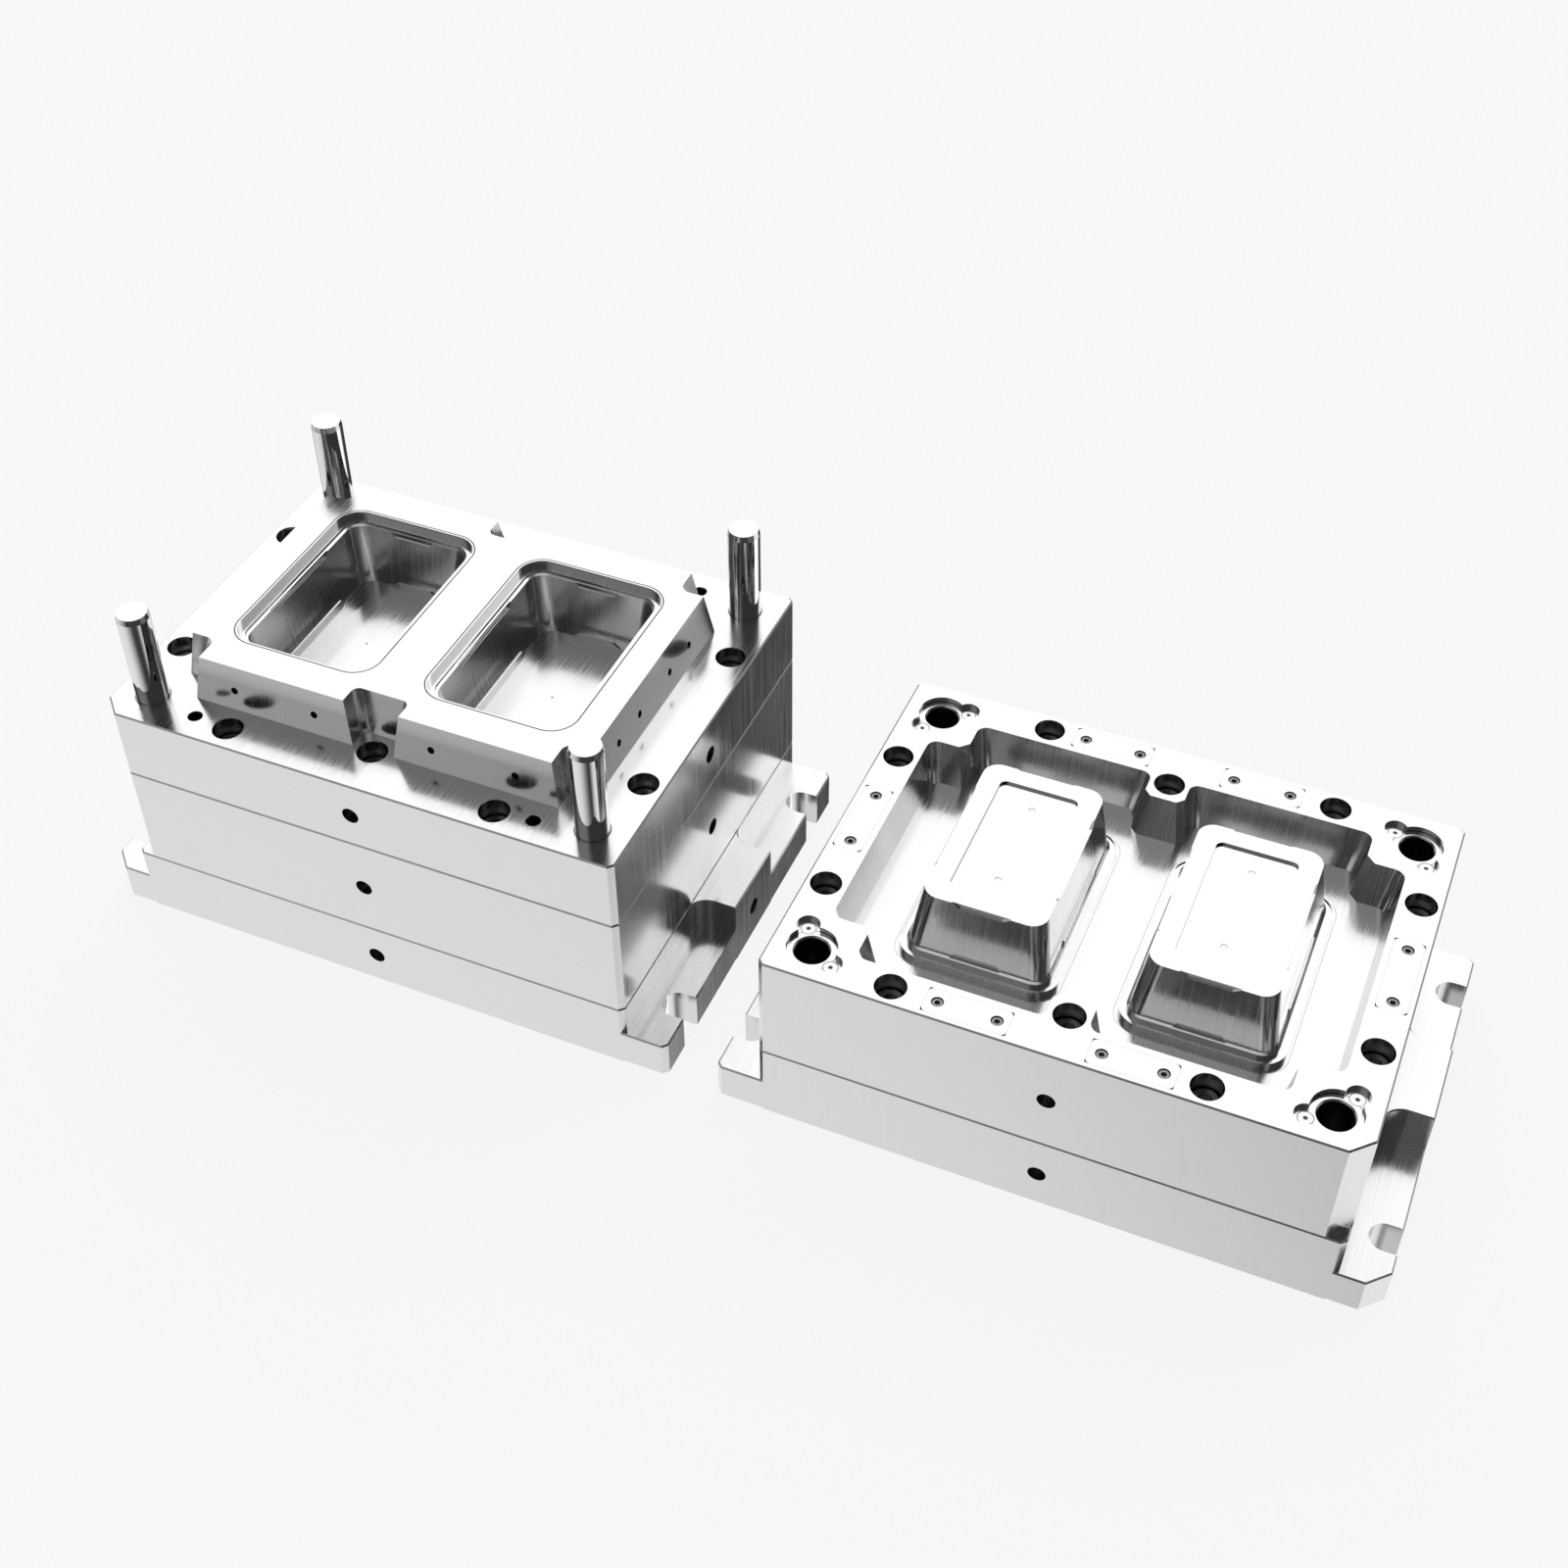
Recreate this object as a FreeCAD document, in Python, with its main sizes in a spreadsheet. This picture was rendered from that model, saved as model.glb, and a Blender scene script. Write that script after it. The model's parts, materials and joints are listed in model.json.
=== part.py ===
import FreeCAD
import Part
import math
import os
import Sketcher

from FreeCAD import Rotation, Vector

os.makedirs("parts", exist_ok=True)
doc = FreeCAD.newDocument("container_mould")

# Container mould, both halves standing apart with their mould faces up.
# The cavity half stands at -X and the core half at +X. Millimetres, +Z up.
# The origin is at the middle of the whole footprint, on the surface that the halves stand on.
# Every half is drawn about its own middle line, and every piece in its own frame.

# Driving dimensions

SIZES = [
    ("plate_length", 550, "plates, along X"),
    ("plate_width", 417, "plates, along Y"),
    ("half_gap", 52, "free space between the ears of the two halves"),
    ("ear_reach", 43.5, "clamp plate ear, past the plates"),
    ("ear_height", 41, "clamp plate ear"),
    ("ear_rib_half", 44, "full-height rib in the middle of an ear, half its width"),
    ("ear_cutter_radius", 20, "corner between ear rib and plate wall"),
    ("clamp_slot_width", 30, "open clamp slot in an ear"),
    ("clamp_slot_depth", 28.5, "open clamp slot, from the ear's end"),
    ("clamp_slot_y", 154, "clamp slot, from the middle line"),
    ("edge_break", 1.5, "chamfer along the plates' faces"),
    ("corner_chamfer", 5.25, "chamfer down the plates' corners"),
    ("datum_chamfer", 19.5, "large chamfer on the corner that shows how the plates go together"),
    ("cavity_clamp_thickness", 74.5, "clamp plate, cavity half"),
    ("hot_runner_thickness", 116.5, "hot runner plate"),
    ("cavity_plate_thickness", 77.5, "cavity plate, without the raised block"),
    ("core_clamp_thickness", 85, "clamp plate, core half"),
    ("core_plate_thickness", 120.5, "core plate"),
    ("interlock_height", 47.5, "raised block, and depth of the pocket that takes it"),
    ("interlock_draft", 7.3, "how far the interlock walls lean over their height"),
    ("block_top_x", 214.7, "raised block, half length at its top"),
    ("block_top_y", 150.2, "raised block, half width at its top"),
    ("corner_notch_x", 188.5, "corner notch of the block, where it starts at the top"),
    ("corner_notch_y", 121.5, "corner notch of the block, where it starts at the top"),
    ("corner_notch_radius", 10, "corner notch, inner corner"),
    ("mid_notch_half", 29.5, "notch in the middle of the block, half width at the top"),
    ("mid_notch_y", 128.5, "notch in the middle of the block, bottom at the top"),
    ("mid_notch_radius", 8, "middle notch, inner corners"),
    ("interlock_clearance", 0.5, "guiding faces of the interlock, when closed"),
    ("boss_side_clearance", 2.8, "sides of the middle bosses, when closed"),
    ("pocket_margin_x", 12.7, "free space between block and pocket along X, when closed"),
    ("pocket_margin_y", 9.9, "free space between block and pocket along Y, when closed"),
    ("pocket_corner_radius", 11, "pocket, inner corners beside the corner bosses"),
    ("pocket_mid_radius", 10, "pocket, inner corners beside the middle bosses"),
    ("corner_boss_chamfer", 8.5, "outer corner of a corner boss"),
    ("mid_boss_chamfer", 6.5, "corners of a middle boss"),
    ("cavity_offset", 105, "middle of a container, from the middle of the half"),
    ("container_wall", 0.8, "wall of the moulded container"),
    ("rim_half_x", 77.3, "container rim, half size along X"),
    ("rim_half_y", 112.3, "container rim, half size along Y"),
    ("rim_radius", 25, "container rim, corner"),
    ("rim_depth", 7, "straight wall round the rim"),
    ("rim_lip", 1.7, "thickness of the container's rim"),
    ("rim_land", 1, "sealing land on top of the core's ring"),
    ("ring_clearance", 0.3, "core ring in the cavity, when closed"),
    ("shoulder_inset", 6.6, "rim to shoulder"),
    ("shoulder_height", 9.5, "shoulder of the core, from the pocket floor"),
    ("shoulder_bevel", 1.2, "slope above the shoulder, height"),
    ("wall_inset", 8.9, "rim to the foot of the container's side wall"),
    ("raised_height", 15.3, "raised middle of the shoulder, from the pocket floor"),
    ("raised_inset", 7.9, "rim to the raised middle of the shoulder"),
    ("raised_bevel", 1, "slope on top of the raised middle"),
    ("raised_half_x", 25, "raised middle on the long ends, half its foot"),
    ("raised_half_y", 53, "raised middle on the long sides, half its foot"),
    ("raised_slant", 5, "how much narrower the raised middle is at its top"),
    ("core_height", 73.2, "core, from the pocket floor"),
    ("base_inset_x", 17.8, "rim to container base, along X"),
    ("base_inset_y", 16.6, "rim to container base, along Y"),
    ("base_radius", 17, "container base, corner"),
    ("foot_recess_height", 5, "recess at the container's foot, height"),
    ("foot_recess_depth", 1.3, "recess at the container's foot, depth"),
    ("foot_recess_half_x", 28, "foot recess on the long ends, half its width"),
    ("foot_recess_half_y", 56, "foot recess on the long sides, half its width"),
    ("foot_recess_slant", 8, "how much narrower the foot recess is at its upper end"),
    ("panel_half_x", 38.7, "recessed panel in the core's top, half size along X"),
    ("panel_half_y", 75, "recessed panel in the core's top, half size along Y"),
    ("panel_radius", 7, "recessed panel, corner"),
    ("panel_depth", 2.7, "recessed panel, depth"),
    ("flange_margin", 2.4, "core flange, past the core's ring"),
    ("flange_radius", 22, "core flange, corner"),
    ("flange_height", 30, "core flange, sunk in the core plate"),
    ("seat_edge_break", 0.4, "small chamfers round the core seats and the jacking holes"),
    ("pin_inset", 38, "guide pins, from the plates' edges"),
    ("pin_radius", 16, "guide pin"),
    ("pin_reach", 103, "guide pin, past the cavity plate"),
    ("pin_tip_length", 6, "guide pin, tapered tip, along the pin"),
    ("pin_tip_inset", 1.2, "guide pin, tapered tip, how far it is drawn in"),
    ("pin_head_radius", 20, "guide pin, head"),
    ("pin_head_height", 8, "guide pin, head"),
    ("pin_fit", 0.02, "press of pins and bushes in their plates, radial room"),
    ("pin_mouth", 1.5, "chamfer round the guide pin's bore"),
    ("guide_fit", 0.05, "guide pin in its bush, radial room"),
    ("bush_radius", 21, "guide bush, body"),
    ("bush_flange_radius", 23, "guide bush, flange"),
    ("bush_flange_height", 8, "guide bush, flange"),
    ("bush_length", 100, "guide bush"),
    ("bush_sink", 5.5, "guide bush, below the core plate's face"),
    ("bush_mouth", 1.4, "chamfer in the guide bush's mouth"),
    ("bush_recess_radius", 23.65, "recess round the bush flange"),
    ("bush_vent_radius", 17, "open bore below the bush"),
    ("lobe_radius", 11, "screw lobes beside the bush"),
    ("lobe_distance", 26.5, "screw lobes, from the bush's middle"),
    ("lobe_angle", 74, "screw lobes, from the line to the mould's middle, degrees"),
    ("bush_screw_radius", 2.5, "bush screws, shank"),
    ("bush_screw_head_radius", 7, "bush screws, head"),
    ("bush_screw_head_height", 4, "bush screws, head, level with the bush flange"),
    ("bush_screw_head_edge", 0.4, "bush screws, chamfer on the head"),
    ("bush_screw_head_room", 0.3, "bush screw heads in their seats, radial"),
    ("bush_screw_socket", 4, "bush screws, socket across flats"),
    ("bush_screw_socket_depth", 2.5, "bush screws, socket"),
    ("bush_screw_grip", 12, "bush screws, length in the core plate"),
    ("bolt_radius", 9, "plate bolts, shank"),
    ("bolt_head_radius", 13.5, "plate bolts, head"),
    ("bolt_head_height", 18, "plate bolts, head"),
    ("bolt_head_edge", 1, "plate bolts, chamfer on the head"),
    ("bolt_socket", 14, "plate bolts, hexagon socket across flats"),
    ("bolt_socket_depth", 9, "plate bolts, hexagon socket"),
    ("bolt_recess_radius", 15, "counterbore of the plate bolts"),
    ("bolt_recess_depth", 36, "counterbore of the plate bolts"),
    ("bolt_hole_room", 0.75, "clearance holes of the plate bolts, radial"),
    ("bolt_grip", 32, "plate bolts, length in the plate below"),
    ("thread_room", 0.05, "tapped holes round their screws, radial"),
    ("tap_runout", 6, "tapped holes, past the screw's end"),
    ("cavity_side_bolt_inset", 22, "bolts near the cavity plate's ends"),
    ("cavity_side_bolt_y", 98.4, "bolts near the cavity plate's ends"),
    ("cavity_end_bolt_x", 143.3, "bolts along the cavity plate's long edges"),
    ("cavity_end_bolt_inset", 24.5, "bolts along the cavity plate's long edges"),
    ("middle_bolt_inset", 50, "bolts in the middle notches and bosses"),
    ("core_side_bolt_inset", 20, "bolts near the core plate's ends"),
    ("core_side_bolt_y", 93.4, "bolts near the core plate's ends"),
    ("core_end_bolt_inset", 20.5, "bolts along the core plate's long edges"),
    ("core_far_bolt_x", 155, "outer bolt along each long edge of the core plate"),
    ("core_near_bolt_x", 130.5, "inner bolt along each long edge of the core plate"),
    ("jack_hole_x", 182, "jacking holes of the cavity plate"),
    ("jack_hole_inset", 27.5, "jacking holes of the cavity plate, from the edge"),
    ("jack_hole_radius", 7, "jacking holes of the cavity plate"),
    ("clamp_bolt_radius", 8, "clamp plate bolts, shank"),
    ("clamp_bolt_head_radius", 12, "clamp plate bolts, head"),
    ("clamp_bolt_head_height", 16, "clamp plate bolts, head"),
    ("clamp_bolt_recess", 18, "clamp plate bolts, counterbore depth"),
    ("clamp_bolt_recess_radius", 13, "clamp plate bolts, counterbore"),
    ("clamp_bolt_hole_room", 0.75, "clamp plate bolts, clearance holes, radial"),
    ("clamp_bolt_socket", 14, "clamp plate bolts, socket across flats"),
    ("clamp_bolt_grip", 28, "clamp plate bolts, length in the plate above"),
    ("clamp_bolt_outer_x", 215, "clamp plate bolts near the corners"),
    ("clamp_bolt_inner_x", 70, "clamp plate bolts near the middle"),
    ("clamp_bolt_inset", 24, "clamp plate bolts, from the long edges"),
    ("lift_hole_radius", 8.75, "tapped lifting holes in the plates' faces"),
    ("lift_hole_depth", 35, "tapped lifting holes"),
    ("cavity_clamp_lift_height", 35.8, "lifting holes of the cavity clamp plate"),
    ("core_clamp_lift_height", 40.1, "lifting holes of the core clamp plate"),
    ("water_hole_radius", 3.75, "cooling ports in the raised block"),
    ("water_hole_depth", 26, "cooling ports, deep enough to pass the block's wall"),
    ("water_hole_height", 21, "cooling ports, above the cavity plate"),
    ("water_hole_far_x", 151, "cooling ports in the block's long walls"),
    ("water_hole_near_x", 63, "cooling ports in the block's long walls"),
    ("water_hole_far_y", 77, "cooling ports in the block's end walls"),
    ("water_hole_near_y", 33, "cooling ports in the block's end walls"),
    ("pad_width", 28, "wear pads, across"),
    ("side_pad_length", 88, "wear pads at the plate's ends"),
    ("side_pad_inset", 20, "wear pads at the plate's ends, from the edge"),
    ("side_pad_pitch", 66, "their screws"),
    ("end_pad_length", 78, "wear pads along the long edges"),
    ("end_pad_inset", 20, "wear pads along the long edges, from the edge"),
    ("end_pad_pitch", 55, "their screws"),
    ("end_pad_far_x", 83.5, "outer wear pad along each long edge"),
    ("end_pad_near_x", 65.6, "inner wear pad along each long edge"),
    ("pad_thickness", 14, "wear pads"),
    ("pad_radius", 5, "wear pads, corners"),
    ("pad_seat_radius", 1.5, "wear pad seats, corners"),
    ("pad_fit", 0.15, "wear pads in their seats, all round"),
    ("pad_screw_radius", 3, "wear pad screws, shank"),
    ("pad_screw_head_radius", 5, "wear pad screws, head"),
    ("pad_screw_head_height", 6, "wear pad screws, head"),
    ("pad_screw_socket", 5, "wear pad screws, socket across flats"),
    ("pad_screw_recess_radius", 5.8, "wear pad screws, counterbore"),
    ("pad_screw_recess_depth", 7, "wear pad screws, counterbore"),
    ("pad_screw_room", 0.3, "wear pad screws, clearance holes, radial"),
    ("pad_screw_grip", 11, "wear pad screws, length in the core plate"),
    ("core_bolt_radius", 6, "core fixing bolts, shank"),
    ("core_bolt_head_radius", 9, "core fixing bolts, head"),
    ("core_bolt_head_height", 12, "core fixing bolts, head"),
    ("core_bolt_socket", 10, "core fixing bolts, socket across flats"),
    ("core_bolt_recess", 14, "core fixing bolts, counterbore depth"),
    ("core_bolt_recess_radius", 10, "core fixing bolts, counterbore"),
    ("core_bolt_room", 0.75, "core fixing bolts, clearance holes, radial"),
    ("core_bolt_grip", 20, "core fixing bolts, length in the core"),
    ("core_bolt_x", 45, "core fixing bolts, from the core's middle"),
    ("core_bolt_y", 80, "core fixing bolts, from the core's middle"),
    ("poppet_y", 49, "air poppets, from the core's middle"),
    ("poppet_head_radius", 3, "air poppet, head"),
    ("poppet_stem_radius", 1.5, "air poppet, stem"),
    ("poppet_fit", 0.05, "air poppet in its guide and seat, radial room"),
    ("poppet_guide", 12, "air poppet, length of its guide below the seat"),
    ("poppet_runout", 1, "guide hole, past the guide's end"),
    ("poppet_chamber_radius", 5, "air bore under the guide"),
    ("spring_radius", 3.4, "poppet spring, outside"),
    ("spring_wire", 0.8, "poppet spring, wire"),
    ("spring_length", 14, "poppet spring, as fitted"),
    ("spring_room", 0.25, "poppet spring round the stem, radial"),
    ("nut_radius", 4, "poppet nut"),
    ("nut_height", 4, "poppet nut"),
    ("manifold_length", 290, "hot runner manifold"),
    ("manifold_width", 64, "hot runner manifold"),
    ("manifold_height", 46, "hot runner manifold"),
    ("manifold_room", 14, "air gap round the manifold"),
    ("melt_radius", 5, "melt channel of inlet and manifold"),
    ("nozzle_melt_radius", 4, "melt channel of a nozzle"),
    ("manifold_corner", 7, "hot runner manifold, corner"),
    ("disc_height", 8, "support discs under the manifold"),
    ("disc_radius", 15, "support discs"),
    ("nozzle_head_radius", 22, "hot nozzle, head"),
    ("nozzle_head_height", 20, "hot nozzle, head"),
    ("nozzle_radius", 15, "hot nozzle, body"),
    ("nozzle_room", 3, "air gap round the nozzle body"),
    ("nozzle_seal_radius", 8, "hot nozzle, sealing nose"),
    ("nozzle_seal_length", 10, "hot nozzle, sealing nose"),
    ("gate_radius", 1, "gate into the cavity"),
    ("gate_land", 1, "gate land under the cavity floor"),
    ("nozzle_taper", 5, "hot nozzle, cone between body and nose"),
    ("nozzle_throat", 2, "gate channel in the nozzle's nose"),
    ("inlet_radius", 20, "melt inlet bush"),
    ("inlet_flange_radius", 30, "melt inlet bush, flange"),
    ("inlet_flange_height", 14, "melt inlet bush, flange"),
    ("inlet_seat_radius", 15, "cone seat for the machine nozzle, at its mouth"),
    ("inlet_seat_depth", 7, "cone seat for the machine nozzle"),
    ("ring_radius", 62.5, "locating ring"),
    ("ring_bore_radius", 25, "locating ring, bore"),
    ("ring_height", 15, "locating ring, flush in the clamp plate"),
    ("ring_fit", 0.02, "locating ring and bushes in their seats, radial room"),
]


class Size:
    """A number together with the sheet expression that works it out."""

    def __init__(self, value, text):
        self.value = value
        self.text = text

    def __add__(self, other):
        other = as_size(other)
        return Size(self.value + other.value, f"({self.text} + {other.text})")

    def __sub__(self, other):
        other = as_size(other)
        return Size(self.value - other.value, f"({self.text} - {other.text})")

    def __mul__(self, other):
        other = as_size(other)
        return Size(self.value * other.value, f"({self.text} * {other.text})")

    def __truediv__(self, other):
        other = as_size(other)
        return Size(self.value / other.value, f"({self.text} / {other.text})")

    def __neg__(self):
        return Size(-self.value, f"(0 - {self.text})")

    def __radd__(self, other):
        return as_size(other) + self

    def __rsub__(self, other):
        return as_size(other) - self

    def __rmul__(self, other):
        return as_size(other) * self

    def cos(self):
        """The cosine of an angle in degrees."""
        return Size(math.cos(math.radians(self.value)), f"cos({self.text} * 1 deg)")

    def sin(self):
        """The sine of an angle in degrees."""
        return Size(math.sin(math.radians(self.value)), f"sin({self.text} * 1 deg)")


def as_size(number):
    """A plain number or a Size, as a Size."""
    if isinstance(number, Size):
        return number
    return Size(float(number), f"({float(number)})")


class SizeSheet:
    """The spreadsheet of driving dimensions, read by name."""

    def __init__(self, rows):
        self.sheet = doc.addObject("Spreadsheet::Sheet", "Sizes")
        for row, (alias, value, meaning) in enumerate(rows, start=1):
            self.sheet.set(f"A{row}", meaning)
            self.sheet.set(f"B{row}", str(value))
            self.sheet.setAlias(f"B{row}", alias)
        doc.recompute()

    def __getattr__(self, alias):
        return Size(float(self.sheet.get(alias)), f"Sizes.{alias}")


size = SizeSheet(SIZES)

# Places that several pieces share

half_length = size.plate_length / 2
half_width = size.plate_width / 2
ear_end = half_length + size.ear_reach
half_spacing = ear_end + size.half_gap / 2
pin_x = half_length - size.pin_inset
pin_y = half_width - size.pin_inset
hot_runner_base = size.cavity_clamp_thickness
cavity_plate_base = hot_runner_base + size.hot_runner_thickness
block_top = size.cavity_plate_thickness + size.interlock_height
pocket_floor = size.core_plate_thickness - size.interlock_height
core_seat = pocket_floor - size.flange_height
cavity_depth = size.core_height + size.container_wall
cavity_floor = block_top - cavity_depth
core_top = size.flange_height + size.core_height
core_panel = core_top - size.panel_depth
SIDES = (-1, 1)
FOUR_CORNERS = [(1, 1), (-1, 1), (-1, -1), (1, -1)]
NEAR = 0.001
OVERSHOOT = 5

cavity_bolts = [(sx * (half_length - size.cavity_side_bolt_inset), sy * size.cavity_side_bolt_y)
                for sx, sy in FOUR_CORNERS]
cavity_bolts += [(sx * size.cavity_end_bolt_x, sy * (half_width - size.cavity_end_bolt_inset))
                 for sx, sy in FOUR_CORNERS]
cavity_bolts += [(as_size(0), side * (half_width - size.middle_bolt_inset)) for side in SIDES]

core_bolts = [(sx * (half_length - size.core_side_bolt_inset), sy * size.core_side_bolt_y)
              for sx, sy in FOUR_CORNERS]
for side in SIDES:
    core_edge_y = side * (half_width - size.core_end_bolt_inset)
    core_bolts.append((side * size.core_far_bolt_x, core_edge_y))
    core_bolts.append((-side * size.core_near_bolt_x, core_edge_y))
core_bolts += [(as_size(0), side * (half_width - size.middle_bolt_inset)) for side in SIDES]

clamp_bolts = [(sx * x, sy * (half_width - size.clamp_bolt_inset))
               for x in (size.clamp_bolt_outer_x, size.clamp_bolt_inner_x)
               for sx, sy in FOUR_CORNERS]
guide_places = [(sx * pin_x, sy * pin_y) for sx, sy in FOUR_CORNERS]
core_fixings = [(sx * size.core_bolt_x, sy * size.core_bolt_y) for sx, sy in FOUR_CORNERS]
core_places = [side * size.cavity_offset for side in SIDES]
poppet_places = [(as_size(0), side * size.poppet_y) for side in SIDES]

# Tools for drawing

nodes = []


def bind(item, prop, number):
    """Ties a property to the sheet."""
    item.setExpression(prop, as_size(number).text)


def place(item, x=0, y=0, z=0):
    """Moves a finished piece to its place."""
    bind(item, "Placement.Base.x", x)
    bind(item, "Placement.Base.y", y)
    bind(item, "Placement.Base.z", z)


def finish_node(item, name, x=0, y=0, z=0):
    """Names a finished piece, moves it to its place and lists it for writing."""
    item.Label = name
    place(item, x, y, z)
    nodes.append(item)
    return item


def new_body(name):
    return doc.addObject("PartDesign::Body", name)


def start_sketch(body, name, height=0, plane="XY_Plane"):
    """A sketch on one of the body's middle planes, moved along that plane's normal."""
    sketch = body.newObject("Sketcher::SketchObject", name)
    support = next(item for item in body.Origin.OriginFeatures if item.Role == plane)
    sketch.AttachmentSupport = (support, [""])
    sketch.MapMode = "FlatFace"
    bind(sketch, "AttachmentOffset.Base.z", height)
    return sketch


def hold(sketch, joins, measures):
    """Adds a drawing's rules in one go, and ties each measured one to the sheet."""
    added = sketch.addConstraint(joins + [rule for rule, _ in measures])
    for index, (_, number) in zip(added[len(joins):], measures):
        bind(sketch, f"Constraints[{index}]", number)


def point_measures(item, point, x, y):
    """A point's distances from the sketch's origin."""
    return [(Sketcher.Constraint(kind, item, point, as_size(number).value), number)
            for kind, number in (("DistanceX", x), ("DistanceY", y))]


def draw_outline(sketch, points):
    """A closed loop of straight lines."""
    corners = [Vector(as_size(x).value, as_size(y).value, 0) for x, y in points]
    following = corners[1:] + corners[:1]
    first = sketch.GeometryCount
    lines = [Part.LineSegment(start, end) for start, end in zip(corners, following)]
    sketch.addGeometry(lines, False)
    last = len(points) - 1
    joins = [Sketcher.Constraint("Coincident", first + n, 2, first + n + 1, 1) for n in range(last)]
    joins.append(Sketcher.Constraint("Coincident", first + last, 2, first, 1))
    measures = []
    for n, (x, y) in enumerate(points):
        measures += point_measures(first + n, 1, x, y)
    hold(sketch, joins, measures)


def draw_box(sketch, x, y, half_x, half_y):
    """A rectangle about a middle point."""
    draw_outline(sketch, [(x - half_x, y - half_y), (x + half_x, y - half_y),
                          (x + half_x, y + half_y), (x - half_x, y + half_y)])


def draw_circles(sketch, centres, radius):
    """Equal circles."""
    leader = sketch.GeometryCount
    radius = as_size(radius)
    measures = [(Sketcher.Constraint("Radius", leader, radius.value), radius)]
    for item, (x, y) in enumerate(centres, start=leader):
        middle = Vector(as_size(x).value, as_size(y).value, 0)
        sketch.addGeometry(Part.Circle(middle, Vector(0, 0, 1), radius.value), False)
        measures += point_measures(item, 3, x, y)
    joins = [Sketcher.Constraint("Equal", leader, leader + n) for n in range(1, len(centres))]
    hold(sketch, joins, measures)


def draw_rounded_box(sketch, x, y, half_x, half_y, radius):
    """A rectangle with round corners: four arcs on held middles, joined by tangent lines."""
    x, y, half_x, half_y, radius = [as_size(number) for number in (x, y, half_x, half_y, radius)]
    first = sketch.GeometryCount
    middles = [(x + sx * (half_x - radius), y + sy * (half_y - radius)) for sx, sy in FOUR_CORNERS]
    arcs = []
    for quarter, (middle_x, middle_y) in enumerate(middles):
        circle = Part.Circle(Vector(middle_x.value, middle_y.value, 0), Vector(0, 0, 1), radius.value)
        arcs.append(Part.ArcOfCircle(circle, quarter * math.pi / 2, (quarter + 1) * math.pi / 2))
    lines = [Part.LineSegment(arcs[n].EndPoint, arcs[(n + 1) % 4].StartPoint) for n in range(4)]
    sketch.addGeometry(arcs + lines, False)
    joins = []
    for n in range(4):
        joins.append(Sketcher.Constraint("Tangent", first + n, 2, first + 4 + n, 1))
        joins.append(Sketcher.Constraint("Tangent", first + 4 + n, 2, first + (n + 1) % 4, 1))
    joins += [Sketcher.Constraint("Equal", first, first + n) for n in range(1, 4)]
    measures = [(Sketcher.Constraint("Radius", first, radius.value), radius)]
    for n, (middle_x, middle_y) in enumerate(middles):
        measures += point_measures(first + n, 3, middle_x, middle_y)
    hold(sketch, joins, measures)


def pad(body, sketch, length, name, both_ways=False):
    """Adds a block on a sketch, along its normal or to both sides of it."""
    feature = body.newObject("PartDesign::Pad", name)
    feature.Profile = (sketch, [""])
    bind(feature, "Length", length)
    feature.Midplane = both_ways
    return feature


def cut(body, sketch, depth, name, upward=False):
    """Cuts a pocket against the sketch's normal, or along it."""
    feature = body.newObject("PartDesign::Pocket", name)
    feature.Profile = (sketch, [""])
    bind(feature, "Length", depth)
    feature.Reversed = upward
    return feature


def bore(body, name, centres, radius, height, depth, upward=False, plane="XY_Plane"):
    """Round holes cut from a plane, down or up."""
    sketch = start_sketch(body, name + "_centres", height, plane)
    draw_circles(sketch, centres, radius)
    return cut(body, sketch, depth, name, upward)


def loft(body, kind, lower, upper, name):
    """A straight-sided form between two outlines."""
    feature = body.newObject(kind, name)
    feature.Profile = (lower, [""])
    feature.Sections = [(upper, [""])]
    feature.Ruled = True
    return feature


def turn(body, profile, name):
    """A turned form: its outline is radius and height."""
    sketch = start_sketch(body, name + "_outline", 0, "XZ_Plane")
    draw_outline(sketch, profile)
    feature = body.newObject("PartDesign::Revolution", name)
    feature.Profile = (sketch, [""])
    feature.ReferenceAxis = (sketch, ["V_Axis"])
    feature.Angle = 360
    return feature


def four_fold(quarter):
    """A closed outline from its first quarter, mirrored over both middle lines."""
    loop = []
    for count, (sx, sy) in enumerate(FOUR_CORNERS):
        chain = quarter if count % 2 == 0 else quarter[::-1]
        loop += [(sx * x, sy * y) for x, y in chain]
    return loop


def flat_edges(shape, height):
    """Names of the edges that lie at one height."""
    level = as_size(height).value
    return [f"Edge{n}" for n, edge in enumerate(shape.Edges, start=1)
            if abs(edge.BoundBox.ZMin - level) < NEAR and abs(edge.BoundBox.ZMax - level) < NEAR]


def edge_between(shape, start, end):
    """Name of the straight edge between two points."""
    ends = [Vector(*[as_size(number).value for number in point]) for point in (start, end)]
    for n, edge in enumerate(shape.Edges, start=1):
        points = [vertex.Point for vertex in edge.Vertexes]
        if len(points) != 2:
            continue
        if min((points[0] - ends[0]).Length + (points[1] - ends[1]).Length,
               (points[0] - ends[1]).Length + (points[1] - ends[0]).Length) < NEAR:
            return f"Edge{n}"
    raise ValueError(f"no edge from {ends[0]} to {ends[1]}")


def dress(body, kind, base, edges, amount, name):
    """Breaks or rounds edges of a feature."""
    feature = body.newObject(kind, name)
    feature.Base = (base, edges)
    bind(feature, "Size" if kind.endswith("Chamfer") else "Radius", amount)
    return feature


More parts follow.
